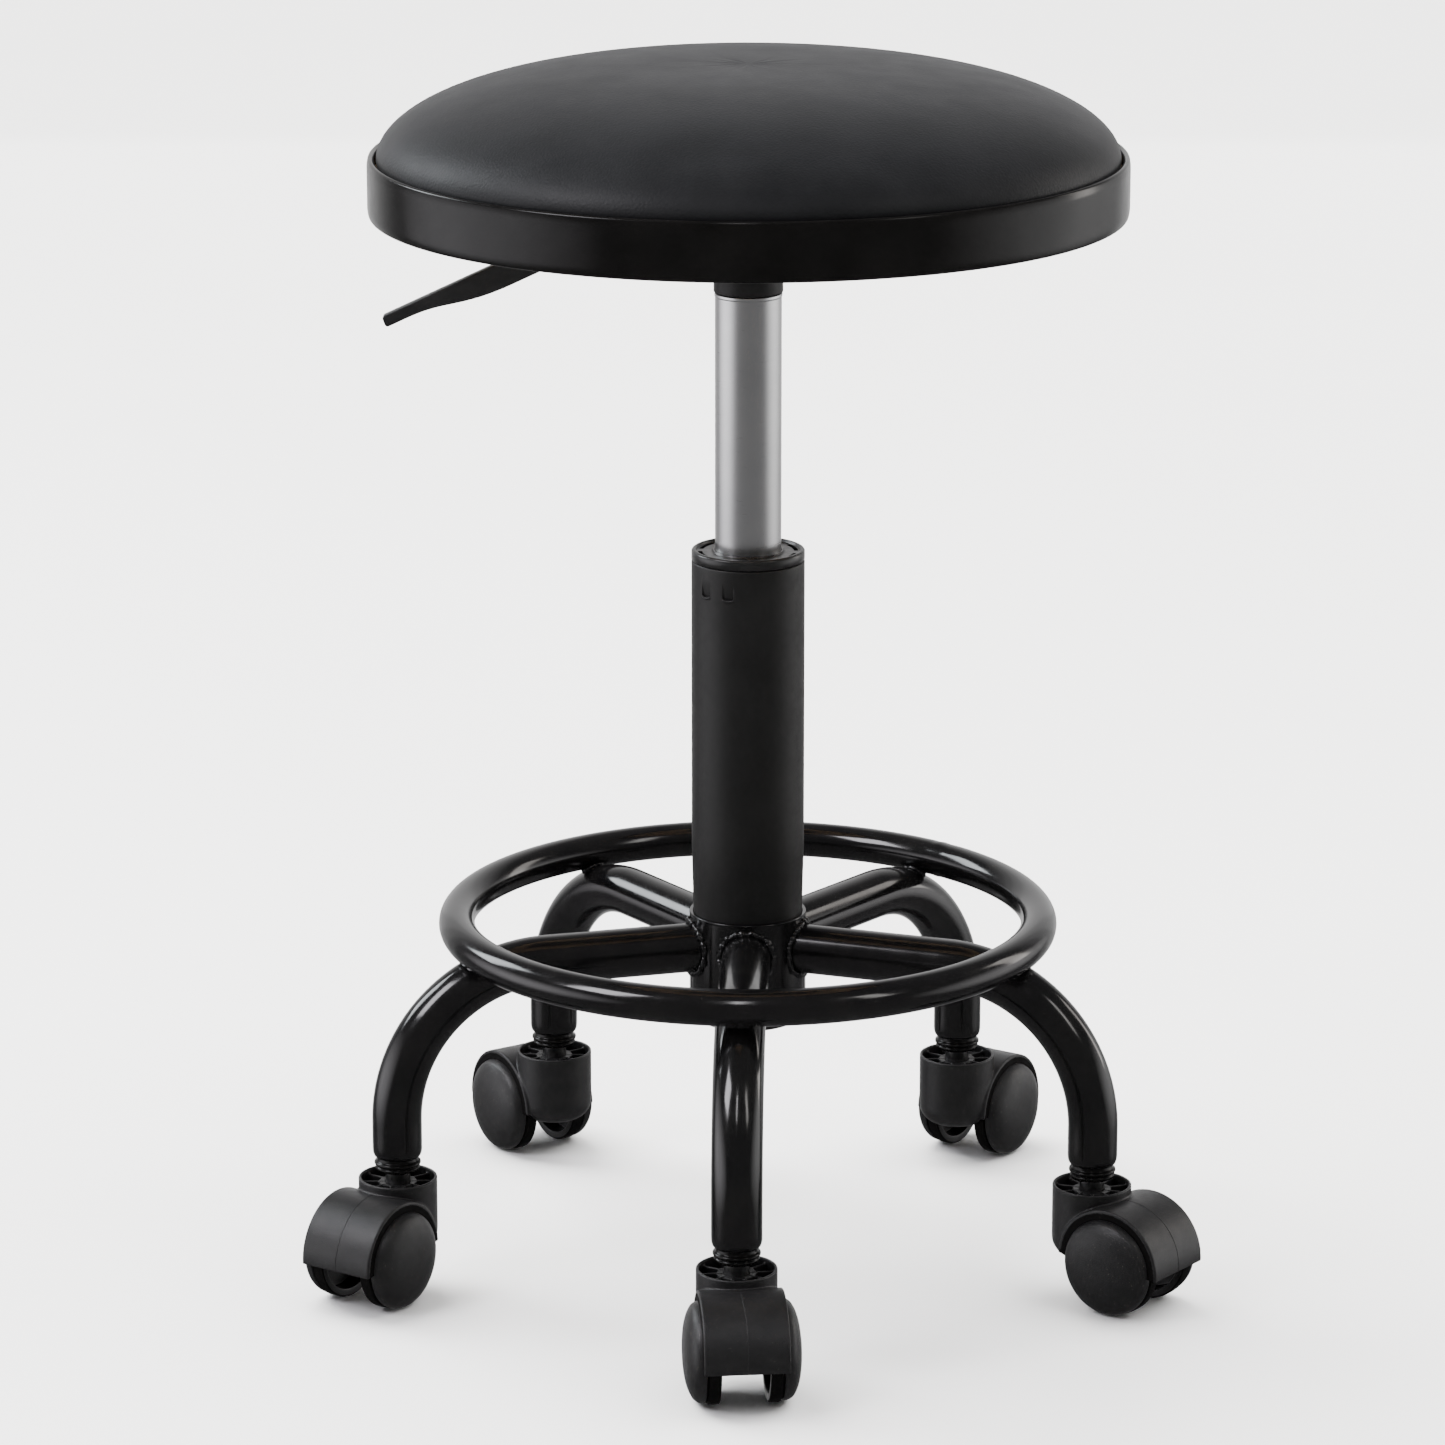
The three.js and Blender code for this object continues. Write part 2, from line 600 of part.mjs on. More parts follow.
function stemSocket() {
  const r = legBoreR - SEAT_GAP;
  const flangeTop = LEG_END_Z - SEAT_GAP;
  const bore = STEM_R + SEAT_GAP / 2;
  const waist = SOCKET_FLANGE_R - SOCKET_WAIST;
  const third = SOCKET_FLANGE_HEIGHT / 3;
  return turned([
    [bore, socketBottomZ],
    [waist, socketBottomZ],
    [waist + SOCKET_LOWER_RING, socketBottomZ + third],
    [waist, socketBottomZ + 1.3 * third],
    [SOCKET_FLANGE_R, socketBottomZ + 1.9 * third],
    [waist, flangeTop],
    [r, flangeTop],
    [r, LEG_END_Z + SOCKET_IN_LEG],
    [bore, LEG_END_Z + SOCKET_IN_LEG],
    [bore, socketBottomZ],
  ], TUBE_SIDES);
}

function casterStem() {
  return rod(STEM_R, STEM_BOTTOM_Z, LEG_END_Z + STEM_IN_LEG, TUBE_SIDES);
}

function towerBody() {
  const arc = [0, 30, 60, 90].map((degrees) => {
    const a = radians(degrees);
    return [
      TOWER_R - TOWER_FILLET + TOWER_FILLET * Math.sin(a),
      TOWER_BOTTOM_Z + TOWER_FILLET - TOWER_FILLET * Math.cos(a),
    ];
  });
  return turned([
    [0, TOWER_BOTTOM_Z],
    ...arc,
    [TOWER_R, TOWER_TOP_Z],
    [TOWER_R - TOWER_WALL, TOWER_TOP_Z],
    [TOWER_R - TOWER_WALL, pocketFloorZ],
    [BOSS_R, pocketFloorZ],
    [BOSS_R, bossTopZ],
    [0, bossTopZ],
  ], WHEEL_SIDES);
}

function towerRibs() {
  return Array.from({ length: RIB_COUNT / 2 }, (_, i) => {
    const reach = TOWER_R - TOWER_WALL / 2;
    const rib = box(-reach, reach, -RIB_THICKNESS / 2, RIB_THICKNESS / 2, pocketFloorZ - 1, bossTopZ);
    return rib.rotateZ(((i + 0.5) * 2 * Math.PI) / RIB_COUNT);
  });
}

function hoodBody() {
  const hood = crossRod(HOOD_R, TRAIL, WHEEL_R, -HOOD_HALF_WIDTH, HOOD_HALF_WIDTH, FINE);
  const below = box(-HOOD_R, HOOD_R * 2, -HOOD_R, HOOD_R, -HOOD_R * 2, 0);
  below.rotateY(radians(HOOD_END_ANGLE)).translate(TRAIL, 0, WHEEL_R);
  return cut(hood, below);
}

// What the wheels need to turn in, on both sides of the core, and the hollow beside the web.
function wheelWells() {
  const outside = HOOD_HALF_WIDTH + 10;
  const inside = WHEEL_INNER_Y - WHEEL_SIDE_GAP;
  const coreX = BOSS_R;
  const wells = [-1, 1].map((side) => {
    const y = [side * inside, side * outside].sort((a, b) => a - b);
    return crossRod(hoodInnerR, TRAIL, WHEEL_R, ...y, FINE);
  });
  const hollows = [-1, 1].map((side) => {
    const y = [side * WEB_HALF, side * (inside + 1)].sort((a, b) => a - b);
    const drum = crossRod(hoodInnerR, TRAIL, WHEEL_R, ...y, FINE);
    return cut(drum, box(-HOOD_R, coreX, ...y, -HOOD_R, HOOD_R * 3));
  });
  return [...wells, ...hollows];
}

function casterHousing() {
  const shell = cut(join(towerBody(), ...towerRibs(), hoodBody()), ...wheelWells());
  const inside = WHEEL_INNER_Y - WHEEL_SIDE_GAP;
  const boss = crossRod(AXLE_BOSS_R, TRAIL, WHEEL_R, -inside, inside, TUBE_SIDES);
  const stemHole = rod(
    runningHole(STEM_R, SMALL), STEM_BOTTOM_Z - SEAT_GAP, TOWER_TOP_Z + 1, SMALL,
  );
  const axleHole = crossRod(AXLE_R + SEAT_GAP / 2, TRAIL, WHEEL_R, -inside - 1, inside + 1, SMALL);
  return cut(join(shell, boss), stemHole, axleHole);
}

// A dished wheel about +Y, with its tread at the inner end and a blind hole for the axle.
function casterWheel() {
  const hole = runningHole(AXLE_R, WHEEL_SIDES);
  const tread = aroundFlats(WHEEL_R, WHEEL_SIDES);
  const holeEnd = AXLE_HALF + SEAT_GAP;
  const dish = WHEEL_OUTER_Y - 2 * WHEEL_SKIN;
  const wheel = turned([
    [hole, WHEEL_INNER_Y],
    [WHEEL_BOSS_R, WHEEL_INNER_Y],
    [WHEEL_BOSS_R, dish],
    [WHEEL_R - WHEEL_SKIN, dish],
    [WHEEL_R - WHEEL_SKIN, WHEEL_INNER_Y],
    [tread, WHEEL_INNER_Y],
    [tread, WHEEL_INNER_Y + TREAD_WIDTH],
    ...WHEEL_DOME.map(([share, drop]) => [tread * share, WHEEL_OUTER_Y - drop]),
    [0, WHEEL_OUTER_Y],
    [0, holeEnd],
    [hole, holeEnd],
    [hole, WHEEL_INNER_Y],
  ], WHEEL_SIDES, Math.PI / WHEEL_SIDES);
  return wheel.rotateX(-Math.PI / 2);
}

function casterAxle() {
  return crossRod(AXLE_R, TRAIL, WHEEL_R, -AXLE_HALF, AXLE_HALF, TUBE_SIDES);
}

// ---- the assembly -----------------------------------------------------------------------------------
function casterGroup(name, heading) {
  const caster = new THREE.Group();
  const wheelA = mesh(`caster_${name}_wheel_a`, casterWheel(), mattePlastic());
  const wheelB = mesh(`caster_${name}_wheel_b`, casterWheel(), mattePlastic());
  wheelA.position.set(TRAIL, 0, WHEEL_R);
  wheelB.position.set(TRAIL, 0, WHEEL_R);
  wheelB.rotation.z = Math.PI;
  caster.add(
    mesh(`caster_${name}_housing`, casterHousing(), mattePlastic()),
    mesh(`caster_${name}_axle`, casterAxle(), zincSteel()),
    wheelA,
    wheelB,
  );
  caster.rotation.z = radians(heading);
  return caster;
}

function legGroup(name, index) {
  const angle = FIRST_LEG_ANGLE + (360 / LEG_NAMES.length) * index;
  const leg = new THREE.Group();
  const foot = new THREE.Group();
  foot.position.x = LEG_CIRCLE_R;
  const caster = casterGroup(name, CASTER_HEADINGS[index] - angle);
  foot.add(
    mesh(`stem_socket_${name}`, stemSocket(), glossPlastic()),
    mesh(`caster_${name}_stem`, casterStem(), zincSteel()),
    caster,
  );
  leg.add(mesh(`leg_${name}`, legTube(), blackPaint()), foot);
  leg.rotation.z = radians(angle);
  return leg;
}

function gasSpring() {
  const group = new THREE.Group();
  group.add(
    mesh("inner_tube", innerTube(), brushedSteel()),
    mesh("rod_guide", rodGuide(), mattePlastic()),
    mesh("piston_rod", pistonRod(), zincSteel()),
    mesh("thrust_bearing", thrustBearing(), zincSteel()),
    mesh("rubber_buffer", rubberBuffer(), blackRubber()),
    mesh("retaining_clip", retainingClip(), zincSteel()),
    mesh("release_button", releaseButton(), zincSteel()),
  );
  return group;
}

function seat() {
  const group = new THREE.Group();
  group.add(
    mesh("seat_cushion", seatCushion(), leatherette()),
    mesh("seat_board", seatBoard(), plywood()),
    mesh("seat_rim", seatRim(), glossPlastic()),
    mesh("mount_plate", mountPlate(), satinPaint()),
    mesh("tube_collar", tubeCollar(), satinPaint()),
    mesh("lever_pin", leverPin(), zincSteel()),
    mesh("release_lever", releaseLever(), mattePlastic()),
  );
  boltPlaces().forEach(([x, y], i) => {
    const bolt = mesh(`mount_bolt_${i + 1}`, mountBolt(), zincSteel());
    bolt.position.set(x, y, 0);
    group.add(bolt);
  });
  return group;
}

function base() {
  const group = new THREE.Group();
  group.add(
    mesh("hub_tube", hubTube(), blackPaint()),
    mesh("column_tube", columnTube(), satinPaint()),
    mesh("guide_bush", guideBush(), mattePlastic()),
    mesh("foot_ring", footRing(), blackPaint()),
    ...LEG_NAMES.map(legGroup),
  );
  return group;
}

// The origin is on the floor, in the middle of the box round the stool.
function centred(group) {
  const reach = new THREE.Box3().setFromObject(group, true);
  const middle = reach.getCenter(new THREE.Vector3());
  group.position.set(-middle.x, -middle.y, 0);
  return group;
}

const stool = new THREE.Group();
stool.add(base(), gasSpring(), seat());

const part = new THREE.Group();
part.add(centred(stool));

export default part;
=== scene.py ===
"""Looks of the adjustable swivel stool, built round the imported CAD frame.

Lengths in this script are millimetres in the stool's own frame: the column stands on x = y = 0 and
the floor is z = 0. Each shape is (vertices, faces), and piece() puts it in the CAD frame in metres.
"""

import json
import math

import bmesh
import bpy
import numpy as np
from mathutils import Matrix, Vector


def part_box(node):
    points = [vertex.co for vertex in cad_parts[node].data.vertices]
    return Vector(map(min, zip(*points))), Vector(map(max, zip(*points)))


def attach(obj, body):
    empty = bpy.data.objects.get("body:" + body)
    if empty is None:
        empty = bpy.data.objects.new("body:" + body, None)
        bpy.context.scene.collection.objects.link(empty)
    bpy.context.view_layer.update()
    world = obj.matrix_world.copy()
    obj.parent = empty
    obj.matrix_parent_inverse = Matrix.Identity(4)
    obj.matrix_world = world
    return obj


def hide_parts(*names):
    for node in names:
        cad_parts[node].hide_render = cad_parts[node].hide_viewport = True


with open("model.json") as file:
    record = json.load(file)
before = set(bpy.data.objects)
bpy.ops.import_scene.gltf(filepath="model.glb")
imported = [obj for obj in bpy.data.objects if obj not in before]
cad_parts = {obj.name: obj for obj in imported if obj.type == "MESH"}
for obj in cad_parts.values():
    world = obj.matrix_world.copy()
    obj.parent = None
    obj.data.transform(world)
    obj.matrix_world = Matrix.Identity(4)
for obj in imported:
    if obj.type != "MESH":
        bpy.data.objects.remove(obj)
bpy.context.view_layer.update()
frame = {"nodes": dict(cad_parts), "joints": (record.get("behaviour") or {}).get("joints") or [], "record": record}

MM = 0.001
TAU = 2 * math.pi

# ---- places that the CAD frame gives ------------------------------------------------------------
joints = {joint["name"]: joint for joint in frame["joints"]}


def node_box(node):
    """The node's lowest and highest corners, in millimetres in the frame's own coordinates."""
    low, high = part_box(node)
    return np.array(low) / MM, np.array(high) / MM


def heights(node):
    """The node's lowest and highest Z, in millimetres."""
    return tuple(corner[2] for corner in node_box(node))


hub_low, hub_high = node_box("hub_tube")
AXIS = (hub_low + hub_high)[:2] / 2  # the column's axis in the frame
STOOL = Matrix.Translation((AXIS[0] * MM, AXIS[1] * MM, 0)) @ Matrix.Scale(MM, 4)

HUB_BOTTOM, HUB_TOP = hub_low[2], hub_high[2]
HUB_R = 26
COLUMN_BOTTOM, COLUMN_TOP = heights("column_tube")
COLUMN_R = 25
COLUMN_WALL = 2
COLUMN_FLOOR = 3
TAPER_TOP = HUB_TOP + 30
TAPER = 1 / 40  # radius lost for each millimetre down the cone
ROD_HOLE_R = 4.3
BUSH_BOTTOM, CAP_TOP = heights("guide_bush")
TUBE_BOTTOM, NECK_TOP = heights("inner_tube")
TUBE_R = 14.6
TUBE_WALL = 1.6
NECK_R = 13.2
COLLAR_BOTTOM, COLLAR_TOP = heights("tube_collar")
COLLAR_R = 15.2
COLLAR_BORE_R = NECK_R + 0.15

LEGS = ("front", "right", "back_right", "back_left", "left")
LEG_TUBE_R = 11
LEG_BEND_R = 68
LEG_START = 24.6  # just inside the hub's wall
LEG_END, leg_top = heights("leg_front")
LEG_ARM = leg_top - LEG_TUBE_R
RING_R = 130
RING_TUBE_R = 8
RING_Z = sum(heights("foot_ring")) / 2

RIM_R = 165
RIM_WALL = 3.2
RIM_BOTTOM, RIM_TOP = heights("seat_rim")
BOARD_BOTTOM = heights("seat_board")[0]
CUSHION_BOTTOM, CUSHION_TOP = heights("seat_cushion")
CUSHION_R = RIM_R - RIM_WALL - 0.7

TRAIL = 20.7  # from the stem's axis back to the axle
WHEEL_R = 22.2
STEM_R = 5.5
STEM_BOTTOM, STEM_TOP = 24.5, 76.5
STEM_HOLE_R = 5.62
SOCKET_BOTTOM, SOCKET_TOP = heights("stem_socket_front")
SOCKET_BORE_R = 5.65
TOWER_R = 17.5
TOWER_BOTTOM, TOWER_TOP = 18.7, 52
HOOD_R = 26
HOOD_INNER_R = 24.6
HOOD_HALF_WIDTH = 18.3
WELL_SIDE = 9.6  # half the width of the web between the two wheels
RIBS = 10
AXLE_R = 2.5
AXLE_HOLE_R = 2.65
AXLE_HALF_LENGTH = 20


# ---- shapes -------------------------------------------------------------------------------------
def quads(bands, rings, count):
    """The faces of some bands between rings of `count` points, the last back to the first."""
    faces = []
    for i in range(bands):
        a, b = i * count, (i + 1) % rings * count
        for k in range(count):
            n = (k + 1) % count
            faces.append((a + k, a + n, b + n, b + k))
    return faces


def rounded(profile, fillet=0.5, steps=4):
    """The profile with each corner rounded. A point may carry its own fillet as a third value."""
    closed = tuple(profile[0][:2]) == tuple(profile[-1][:2])
    points = profile[:-1] if closed else profile
    count = len(points)
    out = []
    for i, point in enumerate(points):
        here = np.array(point[:2], float)
        size = point[2] if len(point) > 2 else fillet
        if not closed and i in (0, count - 1) or size == 0:
            out.append(tuple(here))
            continue
        before = np.array(points[i - 1][:2], float) - here
        after = np.array(points[(i + 1) % count][:2], float) - here
        length_before, length_after = np.linalg.norm(before), np.linalg.norm(after)
        cut = min(size, 0.45 * length_before, 0.45 * length_after)
        start = here + before / length_before * cut
        end = here + after / length_after * cut
        for k in range(steps + 1):
            t = k / steps
            out.append(tuple((1 - t) ** 2 * start + 2 * t * (1 - t) * here + t * t * end))
    return out + [out[0]] if closed else out


def lathe(profile, segments=128):
    """A surface turned about Z. The profile starts and ends on the axis, or closes on itself."""
    closed = tuple(profile[0]) == tuple(profile[-1])
    points = profile[:-1] if closed else profile
    turns = np.arange(segments) * TAU / segments
    verts, rings = [], []
    for r, z in points:
        start = len(verts)
        if r < 1e-6:
            verts.append((0, 0, z))
            rings.append([start] * segments)
        else:
            verts.extend(zip(r * np.cos(turns), r * np.sin(turns), np.full(segments, z)))
            rings.append(list(range(start, start + segments)))
    faces = []
    pairs = zip(rings, rings[1:] + rings[:1]) if closed else zip(rings, rings[1:])
    for lower, upper in pairs:
        for k in range(segments):
            n = (k + 1) % segments
            corners = (lower[k], lower[n], upper[n], upper[k])
            face = tuple(dict.fromkeys(corners))
            if len(face) > 2:
                faces.append(face)
    return verts, faces


def sweep(path, radii, sides=32, closed=False):
    """A tube round a path, with one radius for all of it or one for each point."""
    path = np.array(path, float)
    count = len(path)
    radii = np.broadcast_to(np.array(radii, float), (count,))
    ahead = np.roll(path, -1, axis=0) - np.roll(path, 1, axis=0)
    if not closed:
        ahead[0], ahead[-1] = path[1] - path[0], path[-1] - path[-2]
    ahead /= np.linalg.norm(ahead, axis=1)[:, None]
    side = np.cross(ahead[0], (0, 0, 1) if abs(ahead[0][2]) < 0.9 else (1, 0, 0))
    side /= np.linalg.norm(side)
    turns = np.arange(sides) * TAU / sides
    verts = []
    for point, direction, r in zip(path, ahead, radii):
        side = side - direction * side.dot(direction)
        side /= np.linalg.norm(side)
        up = np.cross(direction, side)
        verts.extend(point + r * (math.cos(t) * side + math.sin(t) * up) for t in turns)
    faces = quads(count if closed else count - 1, count, sides)
    if not closed:
        faces.append(tuple(reversed(range(sides))))
        faces.append(tuple(range((count - 1) * sides, count * sides)))
    return verts, faces


def moved(shape, matrix):
    verts, faces = shape
    return [tuple(matrix @ Vector(v)) for v in verts], faces


def merged(*shapes):
    verts, faces = [], []
    for more_verts, more_faces in shapes:
        start = len(verts)
        verts.extend(more_verts)
        faces.extend(tuple(start + i for i in face) for face in more_faces)
    return verts, faces


def prism(outline, low, high):
    """An outline in X and Z, extruded along Y."""
    count = len(outline)
    verts = [(x, y, z) for y in (low, high) for x, z in outline]
    faces = [tuple(range(count)), tuple(reversed(range(count, 2 * count)))]
    for i in range(count):
        n = (i + 1) % count
        faces.append((i, i + count, n + count, n))
    return verts, faces


def block(x0, x1, y0, y1, z0, z1):
    return prism([(x0, z0), (x1, z0), (x1, z1), (x0, z1)], y0, y1)


def along_y(shape, x=0, z=0):
    """A shape turned about Z laid down so that its axis is along Y."""
    return moved(shape, Matrix.Translation((x, 0, z)) @ Matrix.Rotation(-math.pi / 2, 4, "X"))


def raw_object(name, shape):
    verts, faces = shape
    mesh = bpy.data.meshes.new(name)
    mesh.from_pydata([tuple(map(float, v)) for v in verts], [], faces)
    made = bmesh.new()
    made.from_mesh(mesh)
    bmesh.ops.recalc_face_normals(made, faces=made.faces)
    made.to_mesh(mesh)
    made.free()
    obj = bpy.data.objects.new(name, mesh)
    bpy.context.scene.collection.objects.link(obj)
    return obj


def finished(obj, sharp=40):
    for polygon in obj.data.polygons:
        polygon.use_smooth = True
    obj.data.set_sharp_from_angle(angle=math.radians(sharp))
    return obj


def piece(name, shape, material, body, nodes=(), matrix=STOOL, sharp=40):
    """One piece of the stool, in place, on its body and standing for its CAD nodes."""
    obj = raw_object(name, moved(shape, matrix))
    finished(obj, sharp)
    return joined_to_frame(obj, material, body, nodes)


def joined_to_frame(obj, material, body, nodes):
    obj.data.materials.append(material)
    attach(obj, body)
    if nodes:
        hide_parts(*nodes)
    return obj


def apply_modifiers(obj):
    """The object with its modifiers made part of its mesh."""
    graph = bpy.context.evaluated_depsgraph_get()
    mesh = bpy.data.meshes.new_from_object(obj.evaluated_get(graph))
    obj.modifiers.clear()
    obj.data = mesh
    return obj


# ---- materials ----------------------------------------------------------------------------------
class Nodes:
    """Short calls for building a material's node tree."""

    def __init__(self, name):
        self.material = bpy.data.materials.new(name)
        self.material.use_nodes = True
        self.tree = self.material.node_tree
        self.shader = self.tree.nodes["Principled BSDF"]
        self.place = self.add("ShaderNodeTexCoord").outputs["Object"]

    def add(self, kind, **values):
        node = self.tree.nodes.new(kind)
        for key, value in values.items():
            setattr(node, key, value)
        return node

    def link(self, output, target):
        self.tree.links.new(output, target)

    def noise(self, scale, detail=3.0, roughness=0.5, stretch=(1, 1, 1)):
        mapping = self.add("ShaderNodeMapping")
        mapping.inputs["Scale"].default_value = stretch
        self.link(self.place, mapping.inputs["Vector"])
        noise = self.add("ShaderNodeTexNoise")
        noise.inputs["Scale"].default_value = scale
        noise.inputs["Detail"].default_value = detail
        noise.inputs["Roughness"].default_value = roughness
        self.link(mapping.outputs["Vector"], noise.inputs["Vector"])
        return noise.outputs["Fac"]

    def cells(self, scale, feature="F1"):
        cells = self.add("ShaderNodeTexVoronoi", feature=feature)
        cells.inputs["Scale"].default_value = scale
        self.link(self.place, cells.inputs["Vector"])
        return cells.outputs["Distance"]

    def ranged(self, value, low, high, out_low, out_high):
        node = self.add("ShaderNodeMapRange")
        for socket, number in zip(("From Min", "From Max", "To Min", "To Max"),
                                  (low, high, out_low, out_high)):
            node.inputs[socket].default_value = number
        self.link(value, node.inputs["Value"])
        return node.outputs["Result"]

    def blend(self, amount, first, second):
        """A colour between two, by an amount from 0 to 1. Either may be a colour or an output."""
        node = self.add("ShaderNodeMix", data_type="RGBA")
        self.link(amount, node.inputs["Factor"])
        for socket, colour in ((node.inputs[6], first), (node.inputs[7], second)):
            if isinstance(colour, tuple):
                socket.default_value = (*colour, 1)
            else:
                self.link(colour, socket)
        return node.outputs[2]

    def drift(self, value, first, second, low=0.35, high=0.65):
        """A colour that goes from one to another as the value rises."""
        return self.blend(self.ranged(value, low, high, 0, 1), first, second)

    def colour(self, output):
        self.link(output, self.shader.inputs["Base Color"])

    def roughness(self, value, smoothest, roughest):
        self.link(self.ranged(value, 0.3, 0.7, smoothest, roughest),
                  self.shader.inputs["Roughness"])

    def bump(self, *layers):
        """Layers of (height output, depth in metres, strength), one over the other."""
        normal = None
        for height, depth, strength in layers:
            bump = self.add("ShaderNodeBump")
            bump.inputs["Strength"].default_value = strength
            bump.inputs["Distance"].default_value = depth
            self.link(height, bump.inputs["Height"])
            if normal:
                self.link(normal, bump.inputs["Normal"])
            normal = bump.outputs["Normal"]
        self.link(normal, self.shader.inputs["Normal"])

    def set(self, **values):
        for key, value in values.items():
            self.shader.inputs[key.replace("_", " ")].default_value = value
        return self


def leatherette():
    m = Nodes("black_leatherette").set(Specular_IOR_Level=0.2, Sheen_Weight=0.02)
    m.shader.inputs["Sheen Roughness"].default_value = 0.45
    pebble = m.cells(950, "SMOOTH_F1")
    pores = m.noise(2600, 2)
    drape = m.noise(9, 2)
    m.colour(m.drift(m.noise(30, 4), (0.0032, 0.0034, 0.004), (0.005, 0.0052, 0.006), 0.3, 0.7))
    m.roughness(m.noise(60, 4), 0.46, 0.51)
    m.bump((drape, 0.0012, 0.12), (pebble, 0.00022, 0.35), (pores, 0.00008, 0.3))
    return m.material


def gloss_plastic():
    m = Nodes("gloss_black_plastic").set(Specular_IOR_Level=0.2)
    m.colour(m.drift(m.noise(45, 4), (0.0018, 0.0017, 0.0016), (0.003, 0.0028, 0.0027)))
    m.roughness(m.noise(70, 5, 0.6), 0.16, 0.24)
    m.bump((m.noise(24, 2), 0.0004, 0.08), (m.noise(700, 2), 0.00002, 0.15))
    return m.material


def gloss_paint():
    m = Nodes("gloss_black_paint").set(Specular_IOR_Level=0.5)
    orange_peel = m.noise(420, 2)
    dust = m.ranged(m.noise(900, 1), 0.77, 0.82, 0, 0.35)
    base = m.drift(m.noise(60, 4), (0.0018, 0.0018, 0.002), (0.0032, 0.0031, 0.0031))
    m.colour(m.blend(dust, base, (0.05, 0.048, 0.043)))
    m.roughness(m.noise(120, 5, 0.6), 0.11, 0.18)
    m.bump((orange_peel, 0.00003, 0.2), (dust, 0.00003, 0.2))
    return m.material


def satin_paint():
    m = Nodes("satin_black_paint").set(Specular_IOR_Level=0.34)
    m.colour(m.drift(m.noise(40, 4), (0.0036, 0.0034, 0.0033), (0.0052, 0.005, 0.0048)))
    m.roughness(m.noise(220, 5, 0.6), 0.42, 0.52)
    m.bump((m.noise(1700, 2), 0.00006, 0.45), (m.noise(30, 2), 0.0003, 0.08))
    return m.material


def cap_plastic():
    m = Nodes("satin_black_cap").set(Specular_IOR_Level=0.5)
    m.colour(m.drift(m.noise(90, 4), (0.004, 0.004, 0.004), (0.006, 0.006, 0.0058)))
    m.roughness(m.noise(300, 5, 0.6), 0.26, 0.38)
    m.bump((m.noise(900, 3), 0.00004, 0.4))
    return m.material


def moulded_plastic(name, dusty):
    m = Nodes(name).set(Specular_IOR_Level=0.4)
    grain = m.noise(2300, 3, 0.6)
    flow = m.noise(70, 5, 0.6, (1, 1, 2.5))
    base = m.drift(flow, (0.0045, 0.0045, 0.005), (0.0072, 0.007, 0.0072), 0.3, 0.7)
    specks = m.ranged(m.noise(1100, 2, 0.6), 0.68, 0.74, 0, 0.55 if dusty else 0.18)
    m.colour(m.blend(specks, base, (0.12, 0.11, 0.095)))
    m.roughness(m.noise(180, 5, 0.65), 0.31, 0.43)
    m.bump((grain, 0.00018, 0.6), (flow, 0.0002, 0.08))
    return m.material


def well_shade_plastic():
    """The rough, darker plastic inside the wheel wells and on the treads: its dark base colour and low specular
    level are painted shade where the hood hides them; the light specks are dust.
    """
    m = Nodes("well_shade_plastic").set(Specular_IOR_Level=0.1)
    specks = m.ranged(m.noise(900, 3, 0.6), 0.66, 0.76, 0, 0.4)
    # Dark base colour: painted shade of the hidden wells and treads; light specks: dust.
    m.colour(m.blend(specks, (0.0018, 0.0016, 0.0015), (0.03, 0.024, 0.018)))
    m.roughness(m.noise(200, 4), 0.6, 0.8)
    m.bump((m.noise(700, 3), 0.0001, 0.3))
    return m.material


def brushed_steel():
    m = Nodes("brushed_steel").set(Metallic=1.0, Anisotropic=0.35)
    rings = m.noise(260, 4, 0.6, (0.25, 0.25, 14))
    m.colour(m.drift(m.noise(35, 4), (0.66, 0.665, 0.67), (0.74, 0.74, 0.735), 0.3, 0.7))
    m.roughness(rings, 0.27, 0.36)
    m.bump((rings, 0.00003, 0.25))
    return m.material


def zinc_steel():
    m = Nodes("zinc_steel").set(Metallic=1.0)
    # The base colour is far darker than bright zinc, so that the stem pins deep in the caster cups look dark:
    # painted shade, on every zinc part.
    m.colour(m.drift(m.noise(220, 4), (0.12, 0.12, 0.125), (0.22, 0.22, 0.215), 0.3, 0.7))
    m.roughness(m.noise(500, 4), 0.28, 0.5)
    m.bump((m.noise(900, 3), 0.00003, 0.4))
    return m.material


def plywood():
    m = Nodes("stained_plywood").set(Specular_IOR_Level=0.3)
    grain = m.noise(55, 6, 0.65, (1, 9, 9))
    plies = m.add("ShaderNodeTexWave", wave_type="BANDS", bands_direction="Z")
    plies.inputs["Scale"].default_value = 95
    plies.inputs["Distortion"].default_value = 0.6
    m.link(m.place, plies.inputs["Vector"])
    wood = m.drift(grain, (0.11, 0.07, 0.038), (0.18, 0.12, 0.07), 0.3, 0.7)
    m.colour(m.blend(m.ranged(plies.outputs["Fac"], 0.2, 0.8, 0, 0.35), wood, (0.07, 0.042, 0.022)))
    m.roughness(grain, 0.6, 0.78)
    m.bump((grain, 0.0003, 0.35))
    return m.material


def black_rubber():
    m = Nodes("black_rubber").set(Specular_IOR_Level=0.35)
    m.colour(m.drift(m.noise(120, 4), (0.010, 0.010, 0.010), (0.018, 0.018, 0.017), 0.3, 0.7))
    m.roughness(m.noise(300, 4), 0.7, 0.88)
    m.bump((m.noise(1200, 3), 0.0001, 0.5))
    return m.material


LEATHERETTE = leatherette()
GLOSS_PLASTIC = gloss_plastic()
GLOSS_PAINT = gloss_paint()
SATIN_PAINT = satin_paint()
CAP_PLASTIC = cap_plastic()
CASTER_PLASTIC = moulded_plastic("moulded_caster_plastic", False)
WHEEL_PLASTIC = moulded_plastic("moulded_wheel_plastic", True)
WELL_SHADE_PLASTIC = well_shade_plastic()
BRUSHED_STEEL = brushed_steel()
ZINC_STEEL = zinc_steel()
PLYWOOD = plywood()
RUBBER = black_rubber()

